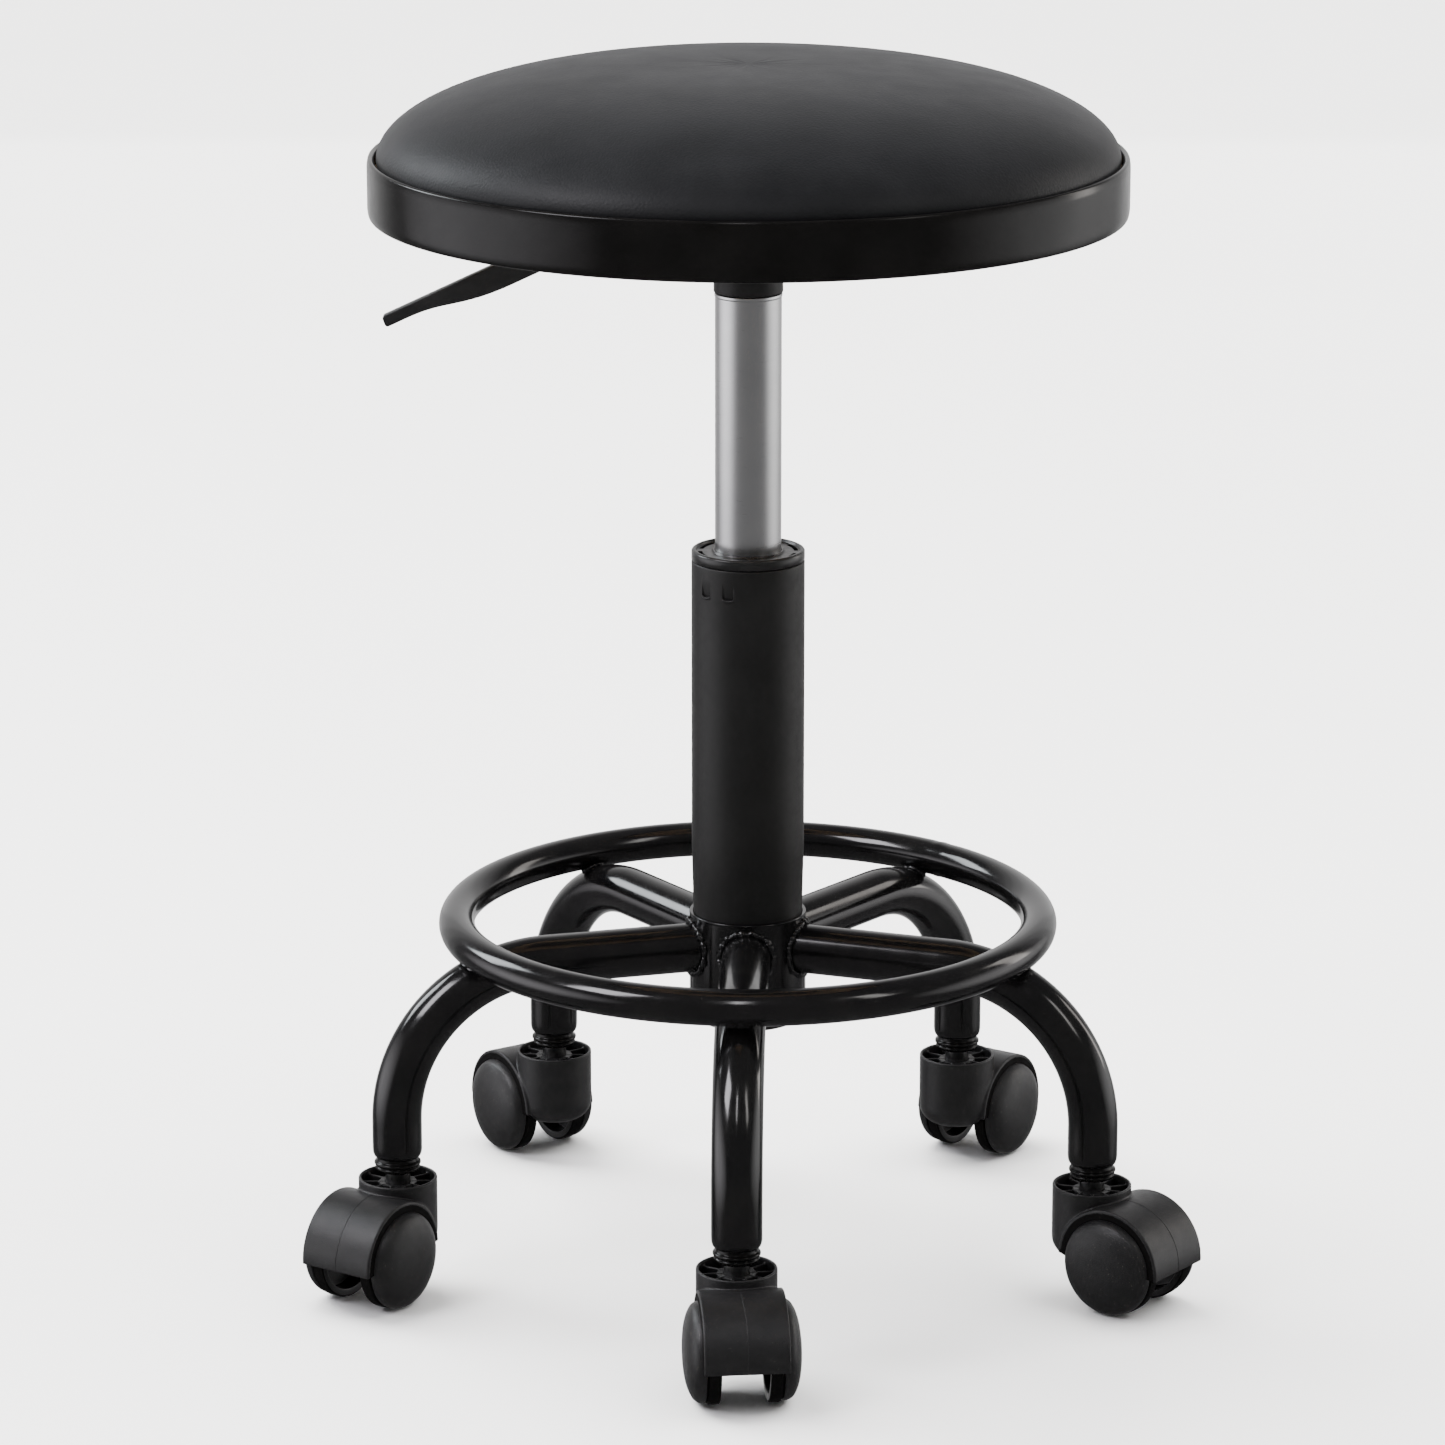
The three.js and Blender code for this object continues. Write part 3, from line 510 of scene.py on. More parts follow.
SLOT_MATERIALS = {
    "cover": LEATHERETTE,
    "board": PLYWOOD,
    "gloss_plastic": GLOSS_PLASTIC,
    "satin_paint": SATIN_PAINT,
    "gloss_paint": GLOSS_PAINT,
    "cap_plastic": CAP_PLASTIC,
    "brushed_steel": BRUSHED_STEEL,
    "zinc_steel": ZINC_STEEL,
    "caster_plastic": CASTER_PLASTIC,
    "wheel_plastic": WHEEL_PLASTIC,
    "lever_plastic": CASTER_PLASTIC,
    "rubber": RUBBER,
}


def dress_cad_nodes():
    """Gives every carried-over CAD node its slot's material."""
    for part in frame["record"]["subparts"]:
        obj = frame["nodes"][part["node"]]
        obj.data.materials.clear()
        obj.data.materials.append(SLOT_MATERIALS[part["material_slot"]])


# ---- seat ---------------------------------------------------------------------------------------
CUSHION_TUCK_IN, CUSHION_TUCK_UP = 2, 3.7  # the edge's roll under, inwards and upwards
DOME_BULGE, DOME_SHOULDER = 2.7, 1.95  # powers of the dome's curve


def cushion_profile(steps=40):
    edge = CUSHION_BOTTOM + CUSHION_TUCK_UP
    dome = []
    for i in range(steps + 1):
        r = CUSHION_R * math.cos(i / steps * math.pi / 2)
        rise = max(0, 1 - (r / CUSHION_R) ** DOME_BULGE) ** (1 / DOME_SHOULDER)
        dome.append((0 if i == steps else r, edge + (CUSHION_TOP - edge) * rise))
    tuck = [(CUSHION_R - CUSHION_TUCK_IN + CUSHION_TUCK_IN * math.sin(t),
             edge - CUSHION_TUCK_UP * math.cos(t)) for t in (0.0, 0.5, 1.0)]
    return [(0, CUSHION_BOTTOM), (80, CUSHION_BOTTOM), (140, CUSHION_BOTTOM), *tuck, *dome]


CLOTH_FRAMES = 20
CLOTH = {
    "quality": 6, "tension_stiffness": 40, "compression_stiffness": 40, "bending_stiffness": 8,
    "use_pressure": True, "uniform_pressure_force": 4,
}


def inflate(obj, held_below, furthest):
    """Swells a closed pad with cloth pressure, held below a height, and keeps that shape."""
    rest = [v.co.copy() for v in obj.data.vertices]
    pins = obj.vertex_groups.new(name="held")
    pins.add([i for i, co in enumerate(rest) if co.z < held_below], 1.0, "REPLACE")
    cloth = obj.modifiers.new("Cloth", "CLOTH")
    cloth.settings.vertex_group_mass = "held"
    for setting, value in CLOTH.items():
        setattr(cloth.settings, setting, value)
    cloth.settings.effector_weights.gravity = 0
    scene = bpy.context.scene
    for number in range(1, CLOTH_FRAMES + 1):
        scene.frame_set(number)
    graph = bpy.context.evaluated_depsgraph_get()
    swollen = [v.co.copy() for v in obj.evaluated_get(graph).data.vertices]
    obj.modifiers.clear()
    obj.vertex_groups.clear()
    for vertex, start, end in zip(obj.data.vertices, rest, swollen):
        step = end - start
        if step.length > furthest:
            step *= furthest / step.length
        vertex.co = start + step
    scene.frame_set(1)


PAD_HEIGHT = 0.93  # the pad starts at this share of its height, because it swells
HELD_EDGE = 6 * MM  # the part above the board that the staples hold
FURTHEST_SWELL = 6 * MM


def scale_height(obj, low, factor):
    for vertex in obj.data.vertices:
        vertex.co.z = low + (vertex.co.z - low) * factor


def seat_cushion():
    obj = raw_object("cushion_cover", moved(lathe(cushion_profile(), 128), STOOL))
    low = CUSHION_BOTTOM * MM
    scale_height(obj, low, PAD_HEIGHT)
    inflate(obj, low + HELD_EDGE, FURTHEST_SWELL)
    top = max(v.co.z for v in obj.data.vertices)
    scale_height(obj, low, (CUSHION_TOP * MM - low) / (top - low))
    level = obj.modifiers.new("Subdivision", "SUBSURF")
    level.levels = level.render_levels = 1
    apply_modifiers(obj)
    finished(obj, 60)
    joined_to_frame(obj, LEATHERETTE, "seat", ["seat_cushion"])


def seat_rim():
    inner = RIM_R - RIM_WALL
    shelf = inner - 12
    shelf_top, shelf_bottom = BOARD_BOTTOM - 0.3, BOARD_BOTTOM - 3.1
    profile = rounded([
        (shelf, shelf_bottom),
        (inner, shelf_bottom, 1.2),
        (inner, RIM_BOTTOM, 0.6),
        (RIM_R - 0.6, RIM_BOTTOM, 1.6),
        (RIM_R, RIM_BOTTOM + 3, 2.5),
        (RIM_R, RIM_TOP - 3.4, 1.5),
        (RIM_R - 0.5, RIM_TOP - 0.6, 1.4),
        (RIM_R - 1.7, RIM_TOP, 1.2),
        (inner - 0.1, RIM_TOP - 1.0, 1.0),
        (inner - 0.1, RIM_TOP - 4, 0.5),
        (inner, RIM_TOP - 4.6, 0.5),
        (inner, shelf_top, 0.5),
        (shelf, shelf_top),
        (shelf, shelf_bottom),
    ], 0.5, 5)
    piece("rim_band", lathe(profile, 256), GLOSS_PLASTIC, "seat", ["seat_rim"])


BOLT_PLACES = ((62, 52), (-62, 52), (-62, -52), (62, -52))
BOLT_R = 3
BOLT_HEAD_R = 4.9
BOLT_HEAD_HEIGHT = 3
BOLT_WASHER_R = 5


def hex_bolt(x, y, name, node):
    """A hexagon head with a washer face, under the mounting plate."""
    low, high = heights(node)
    head_top = low + BOLT_HEAD_HEIGHT
    washer = lathe(rounded([(0, head_top - 0.6), (BOLT_WASHER_R, head_top - 0.6),
                            (BOLT_WASHER_R, head_top), (BOLT_R, head_top), (BOLT_R, high),
                            (0, high)], 0.15, 2), 48)
    head = lathe(rounded([(0, low), (BOLT_HEAD_R - 0.7, low, 0.8), (BOLT_HEAD_R, low + 0.5),
                          (BOLT_HEAD_R, head_top - 0.5), (0, head_top - 0.5)], 0.2, 2), 6)
    place = STOOL @ Matrix.Translation((x, y, 0))
    piece(name, merged(washer, head), ZINC_STEEL, "seat", [node], place, 30)


LEVER_SLOPE = math.radians(25)
LEVER_TIP = np.array([-160, 431.6])
LEVER_ELBOW_X, LEVER_PIN_X, LEVER_NOSE_X = -76, -38, 5
LEVER_TIP_DEPTH, LEVER_BLADE_DEPTH = 5.2, 11.1
LEVER_HALF_WIDTH = 3


def lever_outline():
    """The lever's edge in X and Z: slim tip, deeper blade, elbow, and the nose over the button."""
    along = np.array([math.cos(LEVER_SLOPE), math.sin(LEVER_SLOPE)])
    down = np.array([math.sin(LEVER_SLOPE), -math.cos(LEVER_SLOPE)])
    pin_z = sum(heights("lever_pin")) / 2
    nose_low, nose_high = pin_z - 3, pin_z + 3
    top = (LEVER_ELBOW_X - LEVER_TIP[0]) / along[0]

    def edge(u, depth):
        return tuple(LEVER_TIP + along * u + down * depth)

    return [
        edge(0.4, 0) + (1.6,),
        edge(0, LEVER_TIP_DEPTH) + (1.8,),
        edge(19, LEVER_TIP_DEPTH) + (8,),
        edge(45, LEVER_BLADE_DEPTH) + (14,),
        edge(top - 2.2, LEVER_BLADE_DEPTH) + (10,),
        (LEVER_PIN_X - 9.6, nose_low - 1, 3),
        (LEVER_PIN_X, pin_z - 6, 5),
        (LEVER_PIN_X + 6, nose_low, 3),
        (LEVER_NOSE_X, nose_low, 0.8),
        (LEVER_NOSE_X, nose_high, 0.8),
        (LEVER_PIN_X + 6, nose_high, 3),
        (LEVER_PIN_X, pin_z + 6, 5),
        (LEVER_ELBOW_X, LEVER_TIP[1] + along[1] * top, 16),
    ]


def release_lever():
    outline = lever_outline()
    smooth = rounded(outline + [outline[0]], 1, 8)[:-1]
    bar = prism(smooth, -LEVER_HALF_WIDTH, LEVER_HALF_WIDTH)
    obj = raw_object("lever_bar", moved(bar, STOOL))
    bevel = obj.modifiers.new("Bevel", "BEVEL")
    bevel.width = 1.3 * MM
    bevel.segments = 4
    bevel.limit_method = "ANGLE"
    bevel.angle_limit = math.radians(50)
    apply_modifiers(obj)
    finished(obj, 30)
    joined_to_frame(obj, CASTER_PLASTIC, "lever", ["release_lever"])


def gas_tube():
    bore = TUBE_R - TUBE_WALL
    bead = TUBE_R + 0.25
    crown = COLLAR_BOTTOM - 4
    shoulder = COLLAR_BOTTOM - 0.3
    button = 4.2
    hole = NECK_TOP - 15.9
    profile = rounded([
        (0, crown), (bore, crown), (bore, TUBE_BOTTOM), (TUBE_R, TUBE_BOTTOM, 0.8),
        (TUBE_R, shoulder - 1.6, 0.3), (bead, shoulder - 1.3, 0.2), (bead, shoulder, 0.3),
        (NECK_R, shoulder), (NECK_R, NECK_TOP), (button, NECK_TOP), (button, hole), (0, hole),
    ], 0.4, 4)
    piece("gas_tube", lathe(profile, 160), BRUSHED_STEEL, "seat", ["inner_tube"])


def tube_collar():
    profile = rounded([
        (COLLAR_BORE_R, COLLAR_BOTTOM), (COLLAR_R, COLLAR_BOTTOM, 0.7), (COLLAR_R, COLLAR_TOP),
        (COLLAR_BORE_R, COLLAR_TOP), (COLLAR_BORE_R, COLLAR_BOTTOM),
    ], 0.4, 4)
    piece("collar_socket", lathe(profile, 128), SATIN_PAINT, "seat", ["tube_collar"])


# ---- column -------------------------------------------------------------------------------------
def column_radius(z):
    return COLUMN_R - max(0, TAPER_TOP - z) * TAPER


TAB_ANGLES = (-137.7, -110.6)  # degrees from +X, on the front left of the column
TAB_HALF_WIDTH = 2.7
TAB_TOP, TAB_BOTTOM = COLUMN_TOP - 5.6, COLUMN_TOP - 13.2
TAB_DEPTH = 0.95
TAB_LIP = 0.3
TAB_EDGE = 0.35


def tab_dent(angle, z):
    """How far a punched tab pushes the column's surface in at a point, and its lip out."""
    depth = 0
    for tab in TAB_ANGLES:
        across = math.radians(angle - tab) * COLUMN_R
        if abs(across) > TAB_HALF_WIDTH + 0.6 or not TAB_BOTTOM - 1.4 < z < TAB_TOP:
            continue
        down = (TAB_TOP - z) / (TAB_TOP - TAB_BOTTOM)
        side = min(1, max(0, (TAB_HALF_WIDTH - abs(across)) / TAB_EDGE))
        corner = TAB_BOTTOM + TAB_EDGE * (across / TAB_HALF_WIDTH) ** 2 * 2
        if z > corner:
            depth += TAB_DEPTH * side * min(1, down) ** 1.4
        else:
            lip = max(0, 1 - abs(z - corner + 0.55) / 0.7)
            depth -= TAB_LIP * lip * min(1, side + 0.2)
    return depth


def column_skin():
    """The column's outside as a grid that is fine round the two punched tabs."""
    fine_z = np.arange(TAB_BOTTOM - 1.8, TAB_TOP + 0.4, 0.16)
    coarse_z = [COLUMN_BOTTOM, COLUMN_BOTTOM + 0.5, 140, HUB_TOP, TAPER_TOP - 6, TAPER_TOP,
                TAPER_TOP + 6, 230, 270, TAB_BOTTOM - 4]
    top_z = [TAB_TOP + 3, COLUMN_TOP - 3, COLUMN_TOP - 0.9, COLUMN_TOP - 0.45, COLUMN_TOP - 0.15,
             COLUMN_TOP]
    levels = sorted({float(z) for z in (*coarse_z, *fine_z, *top_z)})
    inset = {COLUMN_TOP: 0.6, COLUMN_TOP - 0.15: 0.3, COLUMN_TOP - 0.45: 0.08, COLUMN_BOTTOM: 0.4}
    angles = set(np.arange(-180, 180, 3.0))
    for tab in TAB_ANGLES:
        reach = math.degrees((TAB_HALF_WIDTH + 0.8) / COLUMN_R)
        angles = {a for a in angles if not tab - reach - 0.5 < a < tab + reach + 0.5}
        angles |= set(np.arange(tab - reach, tab + reach + 0.01, 0.4))
    angles = sorted(float(a) for a in angles)

    def point(r, angle, z):
        turn = math.radians(angle)
        return r * math.cos(turn), r * math.sin(turn), z

    verts = []
    for z in levels:
        base = column_radius(z) - inset.get(z, 0)
        verts += [point(base - tab_dent(angle, z), angle, z) for angle in angles]
    floor_z = COLUMN_BOTTOM + COLUMN_FLOOR
    inner = [(COLUMN_TOP, COLUMN_R - COLUMN_WALL), (TAPER_TOP, COLUMN_R - COLUMN_WALL),
             (floor_z, column_radius(COLUMN_BOTTOM) - COLUMN_WALL), (floor_z, ROD_HOLE_R),
             (COLUMN_BOTTOM, ROD_HOLE_R)]
    verts += [point(r, angle, z) for z, r in inner for angle in angles]
    rows = len(levels) + len(inner)
    return verts, quads(rows, rows, len(angles))


def column_tube():
    piece("column_skin", column_skin(), SATIN_PAINT, "base", ["column_tube"])


CAP_SLOTS = 8
CAP_SINK = 1.2  # how far the face lies below the outer lip
CAP_LIP_R, BORE_LIP_R = 22.4, 16.2  # where the face meets the outer lip and the bore's lip
BORE_LIP_RISE = 0.9
SLOT_INNER_R, SLOT_OUTER_R = 20.2, 22.0
SLOT_START, SLOT_END = 0.04, 0.74  # shares of the way from one slot to the next
SLOT_DEPTH = 2
CAP_BORE_R = 14.85
BUSH_R = 22.85


def cap_height(r, turn):
    """Height of the cap's top at a point: an outer lip, a sunk face with slots, a bore lip."""
    face = CAP_TOP - CAP_SINK
    if r >= CAP_LIP_R:
        t = min(1, (r - CAP_LIP_R) / 0.8)
        return face + (CAP_TOP - face) * (3 * t * t - 2 * t ** 3)
    if r <= BORE_LIP_R:
        t = min(1, (BORE_LIP_R - r) / 0.7)
        return face + BORE_LIP_RISE * (3 * t * t - 2 * t ** 3)
    pitch = TAU / CAP_SLOTS
    along = (turn % pitch) / pitch
    in_slot = SLOT_INNER_R < r < SLOT_OUTER_R and SLOT_START < along < SLOT_END
    return face - SLOT_DEPTH if in_slot else face


def cap_top_grid():
    radii = [CAP_BORE_R, 15.0, 15.3, 15.55, 15.8, 16.0, 16.2, 17.2, 18.5, 19.6, 20.15, 20.25, 21.1,
             21.95, 22.05, 22.4, 22.6, 22.8, 23.0, 23.2, 23.8]
    pitch = TAU / CAP_SLOTS
    marks = [0.0, 0.035, 0.045, *np.linspace(0.1, 0.68, 11), 0.735, 0.745, 0.82, 0.91]
    turns = [(i + mark) * pitch for i in range(CAP_SLOTS) for mark in marks]
    verts = [(r * math.cos(t), r * math.sin(t), cap_height(r, t)) for r in radii for t in turns]
    edge = [(24.35, CAP_TOP - 0.12), (24.75, CAP_TOP - 0.4), (COLUMN_R, CAP_TOP - 0.9),
            (COLUMN_R, COLUMN_TOP + 0.6), (COLUMN_R - 0.25, COLUMN_TOP + 0.3),
            (BUSH_R, COLUMN_TOP + 0.3), (BUSH_R, BUSH_BOTTOM), (CAP_BORE_R, BUSH_BOTTOM)]
    verts += [(r * math.cos(t), r * math.sin(t), z) for r, z in edge for t in turns]
    rows = len(radii) + len(edge)
    return verts, quads(rows, rows, len(turns))


def guide_cap():
    piece("guide_cap", cap_top_grid(), CAP_PLASTIC, "base", ["guide_bush"], sharp=50)


def hub_tube():
    def bore(z):
        return column_radius(z) + 0.15

    profile = rounded([
        (bore(HUB_BOTTOM), HUB_BOTTOM), (HUB_R, HUB_BOTTOM, 0.8), (HUB_R, HUB_TOP - 1, 0.3),
        (HUB_R + 0.15, HUB_TOP - 0.5, 0.3), (HUB_R, HUB_TOP, 0.5), (bore(HUB_TOP), HUB_TOP, 0.3),
        (bore(HUB_BOTTOM), HUB_BOTTOM),
    ], 0.4, 4)
    piece("hub_sleeve", lathe(profile, 160), GLOSS_PAINT, "base", ["hub_tube"])


# ---- legs and ring ------------------------------------------------------------------------------
def stem_place(leg):
    """The caster stem's place from the column's axis, in millimetres."""
    return np.array(joints[f"caster_{leg}_swivel"]["pos_m"][:2]) / MM - AXIS


LEG_CIRCLE_R = float(np.linalg.norm(stem_place("front")))


def leg_matrix(leg):
    x, y = stem_place(leg)
    return STOOL @ Matrix.Rotation(math.atan2(y, x), 4, "Z")


def leg_path():
    bend_x, bend_z = LEG_CIRCLE_R - LEG_BEND_R, LEG_ARM - LEG_BEND_R
    arm = [(x, 0, LEG_ARM) for x in np.linspace(LEG_START, bend_x, 12, endpoint=False)]
    bend = [(bend_x + LEG_BEND_R * math.cos(t), 0, bend_z + LEG_BEND_R * math.sin(t))
            for t in np.linspace(math.pi / 2, 0, 40, endpoint=False)]
    drop = [(LEG_CIRCLE_R, 0, z) for z in np.linspace(bend_z, LEG_END + 4.2, 5, endpoint=False)]
    return arm + bend + drop


def leg_shape():
    """The bent tube, with its open end drawn in round the socket."""
    path = leg_path()
    radii = [LEG_TUBE_R] * len(path)
    end_round, drawn_in = 4, 1.6
    for t in np.linspace(0, math.pi / 2, 8):
        path.append((LEG_CIRCLE_R, 0, LEG_END + end_round * (1 - math.sin(t)) + 0.05))
        radii.append(LEG_TUBE_R - drawn_in * (1 - math.cos(t)))
    path.append((LEG_CIRCLE_R, 0, LEG_END + 1.2))
    radii.append(LEG_TUBE_R - drawn_in - 0.15)
    return sweep(path, radii, 48)


def lumps(count, seed, waves=((5, 0.35), (11, 0.35), (19, 0.35), (33, 0.3), (47, 0.25))):
    """A closed run of uneven values about 0, the same each time for one seed."""
    random = np.random.default_rng(seed)
    t = np.arange(count) * TAU / count
    total = np.zeros(count)
    for turns, size in waves:
        total += size * np.sin(turns * t + random.uniform(0, TAU))
    return total


def hub_weld(seed):
    """An uneven bead where a leg's tube meets the hub."""
    count = 260
    t = np.arange(count) * TAU / count
    wander, swell = lumps(count, seed), lumps(count, seed + 50)
    reach = LEG_TUBE_R + 0.9 + 0.5 * wander
    y = reach * np.cos(t)
    z = LEG_ARM + np.minimum(reach * np.sin(t), HUB_TOP - LEG_ARM - 0.8)
    x = np.sqrt(HUB_R ** 2 - y ** 2) + 0.35
    radii = 1.35 + 0.45 * swell
    return sweep(np.stack([x, y, z], axis=1), radii, 12, closed=True)


def ring_weld(seed):
    """A small bead round the place where the foot ring lies on a leg's bend."""
    count = 72
    t = np.arange(count) * TAU / count
    bend_x, bend_z = LEG_CIRCLE_R - LEG_BEND_R, LEG_ARM - LEG_BEND_R
    out = np.array([RING_R - bend_x, 0, RING_Z - bend_z])
    out /= np.linalg.norm(out)
    along = np.array([out[2], 0, -out[0]])
    centre = np.array([bend_x, 0, bend_z]) + out * (LEG_BEND_R + LEG_TUBE_R)
    wander, swell = lumps(count, seed), lumps(count, seed + 50)
    side = (4.6 + 0.5 * wander) * np.cos(t)
    run = (3.6 + 0.4 * wander) * np.sin(t)
    points = centre + np.outer(side, (0, 1, 0)) + np.outer(run, along)
    points += np.outer(-side ** 2 / (2 * LEG_TUBE_R) + run ** 2 / (2 * RING_TUBE_R), out) * 0.8
    return sweep(points, 1.25 + 0.35 * swell, 10, closed=True)


def legs():
    for number, leg in enumerate(LEGS):
        place = leg_matrix(leg)
        piece(f"leg_tube_{leg}", leg_shape(), GLOSS_PAINT, "base", [f"leg_{leg}"],
              place)
        welds = merged(hub_weld(number + 1), ring_weld(number + 11))
        piece(f"welds_{leg}", welds, GLOSS_PAINT, "base", (), place, 80)


RING_SEAM = 46  # degrees from +X, where the ring's ends are butt-welded


def foot_ring():
    count = 256
    turns = np.arange(count) * TAU / count
    away = np.abs((turns - math.radians(RING_SEAM) + math.pi) % TAU - math.pi) * RING_R
    bead = 0.28 * np.exp(-((away / 1.4) ** 2))
    sink = 0.2 * np.exp(-((away - 3) / 1.2) ** 2)
    radii = RING_TUBE_R + bead - sink
    points = [(RING_R * math.cos(t), RING_R * math.sin(t), RING_Z) for t in turns]
    piece("ring_tube", sweep(points, radii, 48, closed=True), GLOSS_PAINT, "base", ["foot_ring"])


# ---- casters ------------------------------------------------------------------------------------
def caster_matrix(leg):
    """The caster's own frame: X is the way the wheels trail, the stem stands on Z."""
    x, y = stem_place(leg)
    axle = joints[f"wheel_{leg}_a_roll"]["axis"]
    heading = math.atan2(-axle[0], axle[1])
    return STOOL @ Matrix.Translation((x, y, 0)) @ Matrix.Rotation(heading, 4, "Z")


def stem_socket_shape():
    """Two stacked rings under the leg's end, and the plug inside it."""
    top = LEG_END - 0.3
    profile = rounded([
        (SOCKET_BORE_R, SOCKET_BOTTOM), (9.3, SOCKET_BOTTOM, 0.5), (9.9, SOCKET_BOTTOM + 1.0, 0.7),
        (9.9, SOCKET_BOTTOM + 1.7, 0.5), (9.3, SOCKET_BOTTOM + 2.2, 0.3),
        (10.35, SOCKET_BOTTOM + 2.9, 0.7), (10.35, SOCKET_BOTTOM + 4.0, 0.7),
        (9.2, SOCKET_BOTTOM + 4.7, 0.3), (8.9, top, 0.3), (8.9, SOCKET_TOP),
        (SOCKET_BORE_R, SOCKET_TOP), (SOCKET_BORE_R, SOCKET_BOTTOM),
    ], 0.4, 4)
    return lathe(profile, 96)


def boolean(obj, other, operation):
    tool = obj.modifiers.new("Boolean", "BOOLEAN")
    tool.operation = operation
    tool.object = other
    tool.solver = "EXACT"
    apply_modifiers(obj)
    bpy.data.objects.remove(other)


def drum(radius, low, high, fillet=0.0, segments=160):
    profile = [(0, low), (radius, low, fillet), (radius, high, fillet), (0, high)]
    return along_y(lathe(rounded(profile, 0, 4), segments), TRAIL, WHEEL_R)


def tower_shape():
    fillet = 9
    arc = [(TOWER_R - fillet + fillet * math.sin(t), TOWER_BOTTOM + fillet - fillet * math.cos(t))
           for t in np.linspace(0, math.pi / 2, 10)]
    pocket, wall = TOWER_TOP - 8, 1.3
    boss, boss_top = 8.5, TOWER_TOP - 2.4
    profile = [(0, TOWER_BOTTOM), *arc, (TOWER_R, TOWER_TOP), (TOWER_R - wall, TOWER_TOP),
               (TOWER_R - wall, pocket), (boss, pocket), (boss, boss_top), (0, boss_top)]
    return lathe(profile, 128)


def caster_shell():
    """The moulded housing: a cup for the stem flush in a hood, wells for the wheels, and ribs."""
    shell = raw_object("caster_shell", tower_shape())
    reach = TOWER_R - 0.6
    for i in range(RIBS // 2):
        rib = moved(block(-reach, reach, -0.5, 0.5, TOWER_TOP - 9, TOWER_TOP - 2.2),
                    Matrix.Rotation(TAU / RIBS * (i + 0.5), 4, "Z"))
        boolean(shell, raw_object("rib", rib), "UNION")
    hood = raw_object("hood", drum(HOOD_R, -HOOD_HALF_WIDTH, HOOD_HALF_WIDTH, 0.7))
    tilt = Matrix.Rotation(math.radians(3), 4, "Y")
    below = moved(block(-60, 60, -40, 40, -60, 0), Matrix.Translation((TRAIL, 0, WHEEL_R)) @ tilt)
    boolean(hood, raw_object("below", below), "DIFFERENCE")
    boolean(shell, hood, "UNION")
    for side in (-1, 1):
        low, high = sorted((side * WELL_SIDE, side * 40))
        boolean(shell, raw_object("well", drum(HOOD_INNER_R, low, high)), "DIFFERENCE")
        low, high = sorted((side * 2, side * (WELL_SIDE + 1)))
        hollow = raw_object("hollow", drum(HOOD_INNER_R, low, high))
        boolean(hollow, raw_object("core", block(-60, 8.5, -40, 40, -60, 90)), "DIFFERENCE")
        boolean(shell, hollow, "DIFFERENCE")
    boolean(shell, raw_object("boss", drum(5.5, -WELL_SIDE, WELL_SIDE)), "UNION")
    hole = drum(AXLE_HOLE_R, -AXLE_HALF_LENGTH, AXLE_HALF_LENGTH)
    boolean(shell, raw_object("axle_hole", hole), "DIFFERENCE")
    floor_z = STEM_BOTTOM - 0.3
    bore = lathe([(0, floor_z), (STEM_HOLE_R, floor_z), (STEM_HOLE_R, 90), (0, 90)], 96)
    boolean(shell, raw_object("stem_hole", bore), "DIFFERENCE")
    remesh = shell.modifiers.new("Remesh", "REMESH")
    remesh.mode = "VOXEL"
    remesh.voxel_size = 0.42
    smooth = shell.modifiers.new("Smooth", "SMOOTH")
    smooth.factor = 0.5
    smooth.iterations = 2
    thin = shell.modifiers.new("Decimate", "DECIMATE")
    thin.ratio = 0.3
    apply_modifiers(shell)
    verts = [tuple(v.co) for v in shell.data.vertices]
    faces = [tuple(p.vertices) for p in shell.data.polygons]
    bpy.data.objects.remove(shell)
    return merged((verts, faces), mould_line())


def shade_inside(obj, shape, inside):
    """Puts the rough, dark well plastic, which is painted shade, on each face whose corners are all inside."""
    obj.data.materials.append(WELL_SHADE_PLASTIC)
    verts, faces = shape
    marked = [inside(v) for v in verts]
    for polygon, face in zip(obj.data.polygons, faces):
        polygon.material_index = int(all(marked[i] for i in face))


TREAD_GROOVE_R, TREAD_SIDE = 21.0, 16.4


# Which faces get the painted shade: those in the wheel wells and those on the treads.
def in_well(vertex):
    return math.hypot(vertex[0] - TRAIL, vertex[2] - WHEEL_R) < HOOD_INNER_R + 0.3


def on_tread(vertex):
    return (math.hypot(vertex[0], vertex[2]) > TREAD_GROOVE_R - 0.3
            and vertex[1] < TREAD_SIDE + 0.1)


def mould_line():
    """The fine ridge along the middle of the hood's back."""
    turns = np.linspace(math.radians(-2), math.radians(112), 60)
    reach = HOOD_R - 0.07
    path = [(TRAIL + reach * math.cos(t), 0.4 * math.sin(3 * t), WHEEL_R + reach * math.sin(t))
            for t in turns]
    return sweep(path, 0.2, 8)


def wheel_shape():
    """A domed disc that stands a little in from the tread, hollow behind."""
    profile = rounded([
        (0, 25.2), (7, 25.05, 4), (13, 24.2, 4), (17.2, 22.9, 2.6), (20.2, 21.2, 2),
        (21.5, 19.2, 1.2), (21.9, 16.6, 0.5), (TREAD_GROOVE_R, TREAD_SIDE, 0.2),
        (TREAD_GROOVE_R, 15.8, 0.2),
        (22.1, 15.5, 0.4), (WHEEL_R, 14.6, 0.8), (WHEEL_R, 10.4, 0.7), (18.6, 10.4, 0.6),
        (18.6, 17.8, 1), (6.5, 17.8, 1), (6.5, 10.4, 0.4), (2.62, 10.4), (2.62, 20.3), (0, 20.3),
    ], 0.4, 4)
    return along_y(lathe(profile, 128))


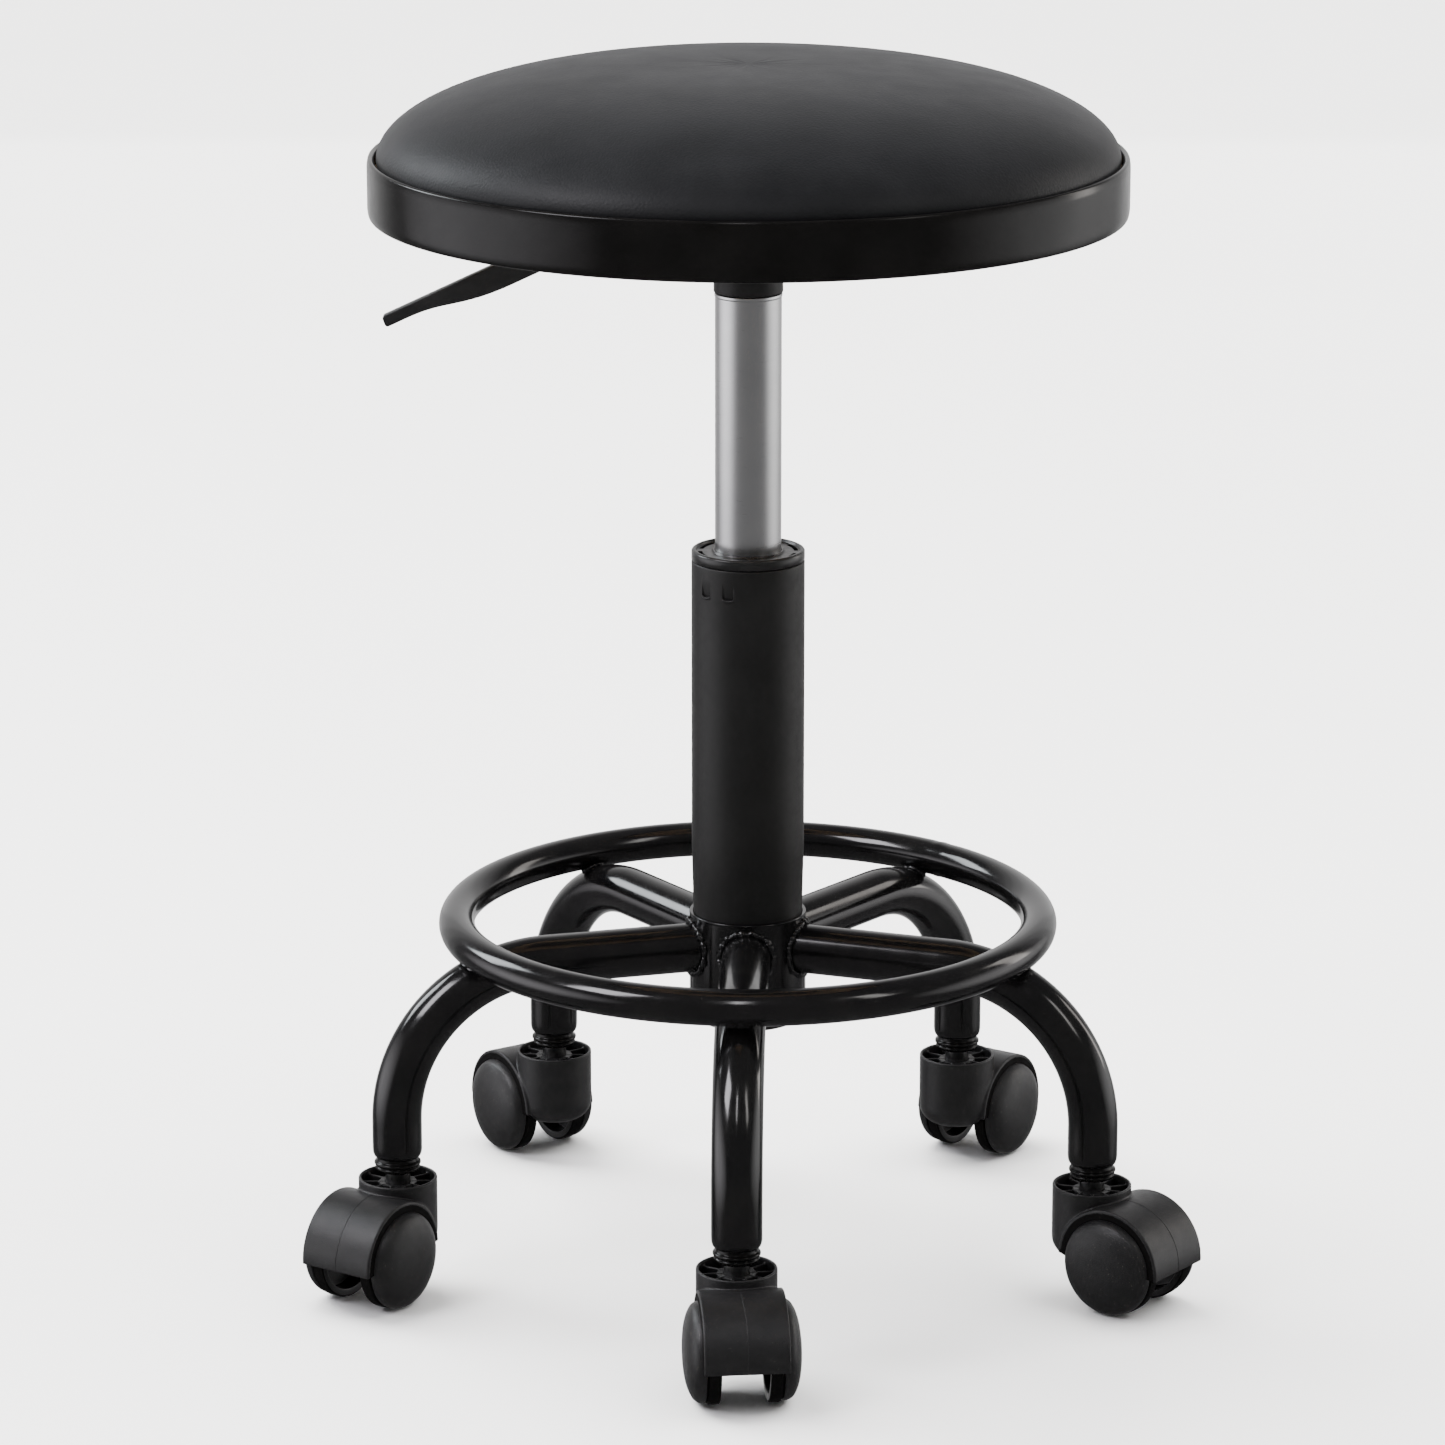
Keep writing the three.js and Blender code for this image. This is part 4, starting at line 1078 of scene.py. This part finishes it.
def casters():
    shell = caster_shell()
    wheel = wheel_shape()
    axle = drum(AXLE_R, -AXLE_HALF_LENGTH, AXLE_HALF_LENGTH, 0.3, 48)
    stem = lathe(rounded([(0, STEM_BOTTOM), (STEM_R, STEM_BOTTOM, 0.8), (STEM_R, STEM_TOP, 0.8),
                          (0, STEM_TOP)], 0.4, 3), 64)
    flip = Matrix.Rotation(math.pi, 4, "Z")
    for leg in LEGS:
        caster = f"caster_{leg}"
        place = caster_matrix(leg)
        hub = place @ Matrix.Translation((TRAIL, 0, WHEEL_R))
        foot = leg_matrix(leg) @ Matrix.Translation((LEG_CIRCLE_R, 0, 0))
        obj = piece(f"{caster}_shell", shell, CASTER_PLASTIC, caster, [f"{caster}_housing"],
                    place, 50)
        # The faces in the wheel wells get the dark well plastic: painted shade under the hood.
        shade_inside(obj, shell, in_well)
        piece(f"{caster}_rod", axle, ZINC_STEEL, caster, [f"{caster}_axle"], place)
        for letter, turn in (("a", Matrix()), ("b", flip)):
            obj = piece(f"{caster}_disc_{letter}", wheel, WHEEL_PLASTIC, f"wheel_{leg}_{letter}",
                        [f"{caster}_wheel_{letter}"], hub @ turn)
            # The treads get it too: painted shade where the hood covers them.
            shade_inside(obj, wheel, on_tread)
        piece(f"{caster}_pin", stem, ZINC_STEEL, "base", [f"{caster}_stem"], foot)
        piece(f"socket_{leg}", stem_socket_shape(), GLOSS_PLASTIC, "base", [f"stem_socket_{leg}"],
              foot)


# ---- studio -------------------------------------------------------------------------------------
CAMERA_LENS = 149.3
CAMERA_DISTANCE, CAMERA_HEIGHT = 2.5648, 0.9415  # metres from the column's foot
CAMERA_TILT, CAMERA_TURN = math.radians(74.879), math.radians(0.252)


def camera():
    data = bpy.data.cameras.new("camera")
    data.sensor_width = 36
    data.lens = CAMERA_LENS
    data.clip_end = 50
    obj = bpy.data.objects.new("camera", data)
    obj.location = (AXIS[0] * MM, AXIS[1] * MM - CAMERA_DISTANCE, CAMERA_HEIGHT)
    obj.rotation_euler = (CAMERA_TILT, 0, CAMERA_TURN)
    bpy.context.scene.collection.objects.link(obj)
    bpy.context.scene.camera = obj


def place_light(name, data, place, aim):
    obj = bpy.data.objects.new(name, data)
    obj.location = place
    obj.rotation_euler = (Vector(aim) - Vector(place)).to_track_quat("-Z", "Y").to_euler()
    bpy.context.scene.collection.objects.link(obj)
    return obj


def softbox(name, turn, distance, height, size, radiance, colour, aim_height=0.3,
            shape="RECTANGLE"):
    """A panel aimed at the column, `turn` degrees to the right of the camera's side."""
    data = bpy.data.lights.new(name, "AREA")
    data.shape = shape
    data.size, data.size_y = size
    data.energy = radiance * math.pi * size[0] * size[1]
    data.color = colour
    angle = math.radians(turn)
    place = (distance * math.sin(angle), -distance * math.cos(angle), height)
    return place_light(name, data, place, (0, 0, aim_height))


WALL_LAYERS = (1.5, 1.2, 0.9, 0.6)


def tent_wall(name, turn, distance, height, size, radiance, colour):
    """Nested upright ellipses, so that the panel fades out towards its edge."""
    for layer, scale in enumerate(WALL_LAYERS):
        softbox(f"{name}_{layer}", turn, distance + 0.02 * layer, height,
                (size[0] * scale, size[1] * scale), radiance / len(WALL_LAYERS), colour, height,
                "ELLIPSE")


def floor_light(name, place, strength, angle, colour):
    """Even light for the floor, left out of reflections."""
    data = bpy.data.lights.new(name, "SUN")
    data.energy = strength
    data.angle = math.radians(angle)
    data.color = colour
    place_light(name, data, place, (0, 0, 0)).visible_glossy = False


def floor():
    half = 80  # metres
    shape = [(-half, -half, 0), (half, -half, 0), (half, half, 0), (-half, half, 0)], [(0, 1, 2, 3)]
    obj = raw_object("floor", shape)
    m = Nodes("pale_floor").set(Specular_IOR_Level=0.2)
    m.colour(m.blend(m.noise(2, 3), (0.86, 0.86, 0.86), (0.89, 0.89, 0.89)))
    m.roughness(m.noise(4, 3), 0.75, 0.85)
    obj.data.materials.append(m.material)
    obj.visible_glossy = False
    obj.visible_shadow = False


def studio():
    world = bpy.data.worlds.new("studio")
    world.use_nodes = True
    background = world.node_tree.nodes["Background"]
    background.inputs["Color"].default_value = (0.99, 0.98, 1.0, 1)
    background.inputs["Strength"].default_value = 0.17
    bpy.context.scene.world = world
    floor_light("floor_left", (-1.3, 1.2, 2.8), 10, 50, (1.0, 0.99, 0.97))
    floor_light("floor_right", (1.4, 0.6, 2.8), 6, 60, (1.0, 0.99, 0.98))
    tent_wall("wall_left", -84, 2.6, 0.1, (2.8, 1.3), 1.9, (0.98, 0.96, 1.0))
    tent_wall("wall_right", 100, 2.6, 0.1, (2.8, 1.3), 1.3, (1.0, 0.99, 0.99))
    tent_wall("backdrop", 180, 3.0, 0.5, (4.6, 3.4), 0.72, (1.0, 0.99, 0.99))
    softbox("main_left", -64, 2.1, 2.1, (1.0, 1.1), 16, (0.97, 0.95, 1.0))
    softbox("strip_front", -4, 2.1, 2.4, (0.14, 0.9), 20, (0.99, 0.97, 1.0))
    softbox("main_right", 52, 2.3, 1.9, (0.4, 1.0), 6, (1.0, 0.98, 0.95))
    softbox("back_left", -118, 2.3, 1.5, (0.8, 1.1), 12, (0.92, 0.96, 1.0))
    softbox("back_right", 116, 2.3, 0.9, (0.5, 1.3), 4, (1.0, 0.95, 0.9))


# ---- the stool ----------------------------------------------------------------------------------
camera()
studio()
floor()
dress_cad_nodes()
seat_cushion()
seat_rim()
release_lever()
gas_tube()
tube_collar()
for index, (x, y) in enumerate(BOLT_PLACES, 1):
    hex_bolt(x, y, f"bolt_{index}", f"mount_bolt_{index}")
column_tube()
guide_cap()
hub_tube()
foot_ring()
legs()
casters()
